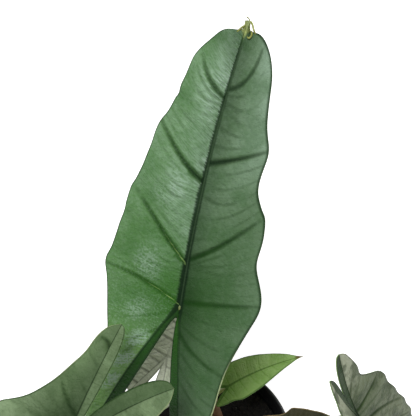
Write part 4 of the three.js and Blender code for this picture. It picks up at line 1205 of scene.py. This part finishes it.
def lathe_grid(profile, sides):
    """A profile of (radius, height) turned about the upright axis."""
    profile, turn = np.asarray(profile, float), full_turn(sides)
    radius, height = profile[:, :1], profile[:, 1:] + 0 * turn
    return np.stack([radius * np.cos(turn), radius * np.sin(turn), height], -1)


def fine_profile(profile, step):
    """The same profile with points at most one step apart."""
    parts = [np.linspace(a, b, max(1, math.ceil(math.dist(a, b) / step)), endpoint=False)
             for a, b in zip(profile, profile[1:])]
    return np.concatenate(parts + [np.array(profile[-1:], float)])


# %% The corm
CROWN = (12, 2)
CORM_RADIUS = 21.0
CORM_DEPTH = 20.0
CORM_DOME = 7.0
SCAR_SPACING = 2.4
KNOB_SIZE = 4.5
CORM_FOOT = SOCKET_FLOOR - CORM_DEPTH
CORM_PROFILE = [
    (0, CORM_FOOT), (12, CORM_FOOT), (17, CORM_FOOT + 3), (CORM_RADIUS - 1, CORM_FOOT + 8),
    (CORM_RADIUS, CORM_FOOT + 12), (CORM_RADIUS - 0.8, CORM_FOOT + 14),
    (CORM_RADIUS, CORM_FOOT + 16), (CORM_RADIUS - 0.8, SOCKET_FLOOR),
    (CORM_RADIUS - 2.8, SOCKET_FLOOR + 3), (CORM_RADIUS - 7, SOCKET_FLOOR + 5.4),
    (CORM_RADIUS - 13, SOCKET_FLOOR + CORM_DOME - 0.4), (0, SOCKET_FLOOR + CORM_DOME)]


def corm_points():
    """The lathe, pushed in and out by the rings of the leaf scars and by knobbly noise, both 0
    at its poles."""
    points = lathe_grid(fine_profile(CORM_PROFILE, 0.9), 120)
    x, y, z = (points[..., k] for k in range(3))
    radius, turn = np.hypot(x, y), np.arctan2(y, x)
    run = z + 0.45 * (CORM_RADIUS - radius)
    scars = np.sin(np.pi * (run / SCAR_SPACING + 0.06 * np.sin(3 * turn)))
    knobs = 0.5 * value_noise(10 * np.cos(turn) + 40, 10 * np.sin(turn) + z, KNOB_SIZE, 3)
    push = (-0.45 * hump(scars, 0.35) + knobs) * np.clip(radius / 6, 0, 1)
    raised = np.where(z > SOCKET_FLOOR + 4, push, 0)
    moves = CROWN[0] + push * np.cos(turn), CROWN[1] + push * np.sin(turn), raised
    return points + np.stack(moves, -1)


# %% Cork
cork, tree, place = new_material("corky skin of the corm")
fibres = add(tree, "TexNoise", place, None, per_mm(4), 5.0, 0.65)
cracks = add(tree, "TexNoise", place, None, per_mm(0.8), 3.0)
share = add(tree, "MapRange", fibres, 0.35, 0.65, 0.0, 1.0)
browns = add(tree, "MixRGB", share, linear("#3c2a1c"), linear("#7a5c3e"))
# Dry cork scatters all light, so it is dull all over
finish(tree, browns, 0.9, add(tree, "Math", cracks, 0.4, fibres, **TIMES_PLUS), 0.6, 1.0)
make_piece("corm_knob", [plain_grid(corm_points())], [cork], "corm_skin", "corm")

# %% [markdown]
# ## Potting mix
#
# The pot is filled with a dark, airy mix of peat, bark and a little pale perlite. One lumpy
# surface makes the mix itself. Loose bits lie on it, all copies of one small rough stone, each
# turned, stretched and placed by seeded random numbers, and joined in one mesh.

# %% The body of the mix
WALL = 1.8
RIM_RADIUS = 75.0
FOOT_RADIUS = 53.0
BAND_STEP = 2.6
FLOOR_TOP = 4.4
SOIL_RELIEF = 1.6
MIX_SIDES = 260


def wall_radius(z):
    """The pot's outside radius, straight from foot to rim."""
    return FOOT_RADIUS + (RIM_RADIUS - BAND_STEP - FOOT_RADIUS) * z / RIM_HEIGHT


def beside_crown(x, y):
    """Distance from the corm's side."""
    return np.hypot(x - CROWN[0], y - CROWN[1]) - CORM_RADIUS


def beside_shoot(x, y):
    """Distance from the middle of the young leaf's stalk."""
    return np.hypot(x - SHOOT[0], y - SHOOT[1])


def soil_height(x, y):
    """Low lumps from sines, calm where corm and shoot stand."""
    lumps = (np.sin(x * 0.31 + 1.3) * np.cos(y * 0.27 - 0.4)
             + 0.6 * np.sin(x * 0.62 - y * 0.55 + 2.1) + 0.4 * np.cos(x * 0.9 + y * 0.8))
    calm = np.clip(np.minimum(beside_crown(x, y), beside_shoot(x, y) - 4) / 12, 0.15, 1)
    return SOIL_LEVEL + SOIL_RELIEF * 0.5 * lumps * calm


def mix_points():
    """Rings from the centre out over the lumpy top, down the wall and in to the bottom centre,
    with crumbs of 1.5 and 3 mm on the top. It stands 0.3 mm further off the wall than the solid."""
    low, shoulder = FLOOR_TOP + GAP, SOIL_LEVEL - 4
    low_radius, high_radius = (wall_radius(z) - WALL - GAP - 0.3 for z in (low, shoulder))
    top = lathe_grid([(r, SOIL_LEVEL) for r in np.linspace(0, high_radius, 80)], MIX_SIDES)
    x, y = top[..., 0], top[..., 1]
    crumbs = 0.5 * value_noise(x + 99, y + 99, 3, 5) + 0.35 * value_noise(x + 99, y + 99, 1.5, 6)
    top[..., 2] = soil_height(x, y) + crumbs
    side = fine_profile([(high_radius, shoulder), (low_radius, low), (0, low)], 8)
    return np.concatenate([top, lathe_grid(side, MIX_SIDES)])


def mix_skin(name, dark, light, size, dull=1.0):
    """Damp peat, bark or mineral: dark with lighter specks, dull and rough."""
    material, tree, place = new_material(name)
    specks = add(tree, "TexNoise", place, None, per_mm(size), 6.0, 0.7)
    share = add(tree, "MapRange", specks, 0.5, 0.72, 0.0, 1.0)
    colour = add(tree, "MixRGB", share, linear(dark), linear(light))
    finish(tree, colour, dull, specks, 0.9, 1.0)
    return material


damp_mix = mix_skin("damp potting mix", "#080605", "#1b1510", 2.5)
make_piece("mix_body", [plain_grid(mix_points(), True)], [damp_mix], "potting_mix", "soil")

# %% Loose bits on the mix
BITS_WITHIN = 66
STONE = np.array([(0, 0, 1), (0.9, 0.1, 0.4), (0.2, 0.9, 0.3), (-0.8, 0.3, 0.5), (-0.3, -0.9, 0.4),
                  (0.6, -0.7, 0.2), (0.8, 0.2, -0.4), (-0.1, 0.8, -0.5), (-0.9, -0.1, -0.3),
                  (0.1, -0.8, -0.4), (0, 0, -0.9)])
STONE_FACES = np.array([(0, 1, 2), (0, 2, 3), (0, 3, 4), (0, 4, 5), (0, 5, 1), (1, 6, 2), (2, 6, 7),
                        (2, 7, 3), (3, 7, 8), (3, 8, 4), (4, 8, 9), (4, 9, 5), (5, 9, 6), (5, 6, 1),
                        (6, 10, 7), (7, 10, 8), (8, 10, 9), (9, 10, 6)])


def scatter_bits(name, count, sizes, flatness, material, seed):
    """count stones at random places on the mix, clear of corm, shoot and wall: each is scaled,
    flattened, turned about Z and tipped a little, then half sunk in the surface. Three times
    as many places are drawn, so that enough are clear."""
    rng = np.random.RandomState(seed)
    radius = BITS_WITHIN * np.sqrt(rng.uniform(0, 1, 3 * count))
    turn = rng.uniform(0, 2 * np.pi, 3 * count)
    x, y = radius * np.cos(turn), radius * np.sin(turn)
    clear = (beside_crown(x, y) > 2) & (beside_shoot(x, y) > 6)
    x, y = x[clear][:count], y[clear][:count]
    scale = rng.uniform(*sizes, (len(x), 1, 1)) * rng.uniform(0.6, 1.3, (len(x), 1, 3))
    scale[..., 2] *= flatness
    spin, tip = rng.uniform(0, 2 * np.pi, len(x)), rng.uniform(-0.5, 0.5, len(x))
    c, s, ct, st, none = np.cos(spin), np.sin(spin), np.cos(tip), np.sin(tip), 0 * spin
    turned = np.stack([c, -s * ct, s * st, s, c * ct, -c * st, none, st, ct], -1).reshape(-1, 3, 3)
    stones = np.einsum("nij,nkj->nki", turned, STONE * scale)
    stones += np.stack([x, y, soil_height(x, y) + 0.2], -1)[:, None]
    faces = (STONE_FACES + len(STONE) * np.arange(len(x))[:, None, None]).reshape(-1, 3)
    mesh = bpy.data.meshes.new(name)
    mesh.from_pydata(stones.reshape(-1, 3) * MM, [], faces)
    mesh.materials.append(material)
    link_piece(name, mesh)
    print(name, len(x), "bits")


bark = mix_skin("bark chips", "#0e0a08", "#2b231b", 3.0)
peat = mix_skin("peat crumbs", "#0a0807", "#1e1712", 1.5)
perlite = mix_skin("perlite", "#5f5d58", "#a3a19a", 1.0, 0.8)
scatter_bits("bark_bits", 620, (0.9, 2.6), 0.45, bark, 11)
scatter_bits("peat_crumbs", 700, (0.5, 1.3), 0.8, peat, 12)
scatter_bits("perlite_bits", 34, (0.4, 0.8), 0.8, perlite, 13)

# %% [markdown]
# ## Pot
#
# A plain black nursery pot is blow-moulded from polypropylene about 2 mm thick: a tapered cup
# with a stiff band below its rim and drain holes in the raised part of its floor. It is turned
# from the solid's own profile, with far more sides. The ring of floor with the holes is made as
# eight equal pieces, each a grid between a square-cornered frame and a round hole.

# %% The pot's shape
POT_SIDES = 192
HOLES = 8
HOLE_CIRCLE = 36.0
HOLE_RADIUS = 5.0
CHANNEL = (28.0, 46.0)
FLOOR_LOW = 2.0
BAND_FOOT = RIM_HEIGHT - 14
SPOKE_STEPS = 8
PATCH_RINGS = 5


def holed_floor(z, flip):
    """Eight grids. v runs from the frame of one eighth of the ring (v = 0) to its hole (v = 1),
    and u around it. The frame's points are those of the turned parts beside it."""
    steps = POT_SIDES // HOLES
    inner, outer = CHANNEL
    half = np.pi / HOLES
    out_arc = np.stack([np.full(steps, outer), np.linspace(-half, half, steps, endpoint=False)], -1)
    edge_in = np.stack([np.linspace(outer, inner, SPOKE_STEPS, endpoint=False),
                        np.full(SPOKE_STEPS, half)], -1)
    in_arc = np.stack([np.full(steps, inner), np.linspace(half, -half, steps, endpoint=False)], -1)
    edge_out = np.stack([np.linspace(inner, outer, SPOKE_STEPS + 1),
                         np.full(SPOKE_STEPS + 1, -half)], -1)
    polar = np.concatenate([out_arc, edge_in, in_arc, edge_out])
    radius, turn = polar.T
    frame_points = np.stack([radius * np.cos(turn), radius * np.sin(turn)], -1)
    away = frame_points - [HOLE_CIRCLE, 0]
    hole = [HOLE_CIRCLE, 0] + HOLE_RADIUS * away / np.linalg.norm(away, axis=1, keepdims=True)
    v = np.linspace(0, 1, PATCH_RINGS)[:, None, None]
    patch = frame_points * (1 - v) + hole * v
    grids = []
    for k in range(HOLES):
        turn = 2 * np.pi * (k + 0.5) / HOLES
        spin = np.array([[math.cos(turn), math.sin(turn)], [-math.sin(turn), math.cos(turn)]])
        flat = patch @ spin
        height = np.full(flat.shape[:2] + (1,), z)
        grids.append(plain_grid(np.concatenate([flat, height], -1), flip))
    return grids


def hole_walls():
    """The walls of the drain holes, between the last rings of the two floor faces."""
    pairs = zip(holed_floor(FLOOR_LOW, False), holed_floor(FLOOR_TOP, False))
    return [plain_grid(np.stack([low[0][-1], high[0][-1]]), True) for low, high in pairs]


OUTSIDE = [
    (CHANNEL[1], FLOOR_LOW), (FOOT_RADIUS - 6, 0), (FOOT_RADIUS - 1, 0), (wall_radius(1.2), 1.2),
    (wall_radius(BAND_FOOT - 1), BAND_FOOT - 1), (RIM_RADIUS - 0.8, BAND_FOOT),
    (RIM_RADIUS - 0.1, BAND_FOOT + 0.5), (RIM_RADIUS, BAND_FOOT + 1), (RIM_RADIUS, RIM_HEIGHT - 1),
    (RIM_RADIUS - 0.3, RIM_HEIGHT - 0.3), (RIM_RADIUS - 1, RIM_HEIGHT),
    (RIM_RADIUS - 1.6, RIM_HEIGHT), (RIM_RADIUS - 2, RIM_HEIGHT - 0.1),
    (RIM_RADIUS - BAND_STEP - 0.2, RIM_HEIGHT - 1.2),
    (wall_radius(BAND_FOOT) - WALL + 1, BAND_FOOT + 1),
    (wall_radius(BAND_FOOT) - WALL, BAND_FOOT - 1),
    (wall_radius(FLOOR_TOP) - WALL, FLOOR_TOP), (CHANNEL[1], FLOOR_TOP)]
UNDER_MIDDLE = [(0, 0), (CHANNEL[0] - 1, 0), (CHANNEL[0], FLOOR_LOW)]
FLOOR_MIDDLE = [(CHANNEL[0], FLOOR_TOP), (14, FLOOR_TOP), (0, FLOOR_TOP)]
profiles = fine_profile(UNDER_MIDDLE, 6), fine_profile(OUTSIDE, 6), FLOOR_MIDDLE
pot_grids = [plain_grid(lathe_grid(profile, POT_SIDES)) for profile in profiles]
pot_grids += holed_floor(FLOOR_LOW, True) + holed_floor(FLOOR_TOP, False) + hole_walls()

# %% Black polypropylene
plastic, tree, place = new_material("moulded black polypropylene")
smudge = add(tree, "TexNoise", place, None, per_mm(18), 3.0)
fine_grain = add(tree, "TexNoise", place, None, per_mm(0.8), 2.0)
black = add(tree, "MixRGB", smudge, linear("#101012"), linear("#1d1d20"))
# Thin moulded plastic has a satin gloss that handling has left uneven
satin = add(tree, "MapRange", smudge, 0.3, 0.7, 0.34, 0.5)
finish(tree, black, satin, fine_grain, 0.12, 0.3, IOR=1.49)
make_piece("nursery_pot", pot_grids, [plastic], "pot_plastic", "pot")

# %% [markdown]
# ## Light and floor
#
# A large soft lamp stands high in front on the left, where it is mirrored by the left half of
# the big blade and by nothing else. A white room fills the shadows, on a pale floor.

# %% Lights and floor
def area_light(name, place, aim, size, watts):
    """A square soft lamp at place that faces aim, all in metres."""
    lamp = bpy.data.objects.new(name, bpy.data.lights.new(name, "AREA"))
    lamp.data.size = size
    lamp.data.energy = watts
    lamp.location = place
    direction = mathutils.Vector(aim) - mathutils.Vector(place)
    lamp.rotation_euler = direction.to_track_quat("-Z", "Y").to_euler()
    bpy.context.scene.collection.objects.link(lamp)


area_light("key lamp", (-0.50, -0.30, 3.1), (0, 0, 0.2), 0.9, 62)
area_light("fill lamp", (2.0, 1.2, 2.2), (0, 0, 0.2), 1.5, 22)
world = bpy.data.worlds.new("white walls under a dim ceiling")
bpy.context.scene.world = world
world.use_nodes = True
tree = world.node_tree
tree.nodes.clear()
upward = add(tree, "SeparateXYZ", add(tree, "TexCoord", out=0), out=2)
wall_light = add(tree, "MapRange", upward, 0.0, 0.6, 0.4, 0.1, **SOFT)
background = add(tree, "Background", (1, 1, 1, 1), wall_light)
add(tree, "OutputWorld", background)

floor_paint, tree, place = new_material("matt white floor paint")
unevenness = add(tree, "TexNoise", place, None, 3.0)
floor_tone = add(tree, "MixRGB", unevenness, linear("#f4f4f2"), linear("#f8f8f7"))
add(tree, "OutputMaterial", add(tree, "BsdfPrincipled", named={
    "Base Color": floor_tone, "Roughness": 0.9, "Emission Color": (1, 1, 1, 1),
    "Emission Strength": 0.75}))
floor_mesh = bpy.data.meshes.new("floor")
floor_mesh.from_pydata([(-4, -4, 0), (4, -4, 0), (4, 4, 0), (-4, 4, 0)], [], [(0, 1, 2, 3)])
floor_mesh.materials.append(floor_paint)
floor = bpy.data.objects.new("floor", floor_mesh)
bpy.context.scene.collection.objects.link(floor)
print("lit")
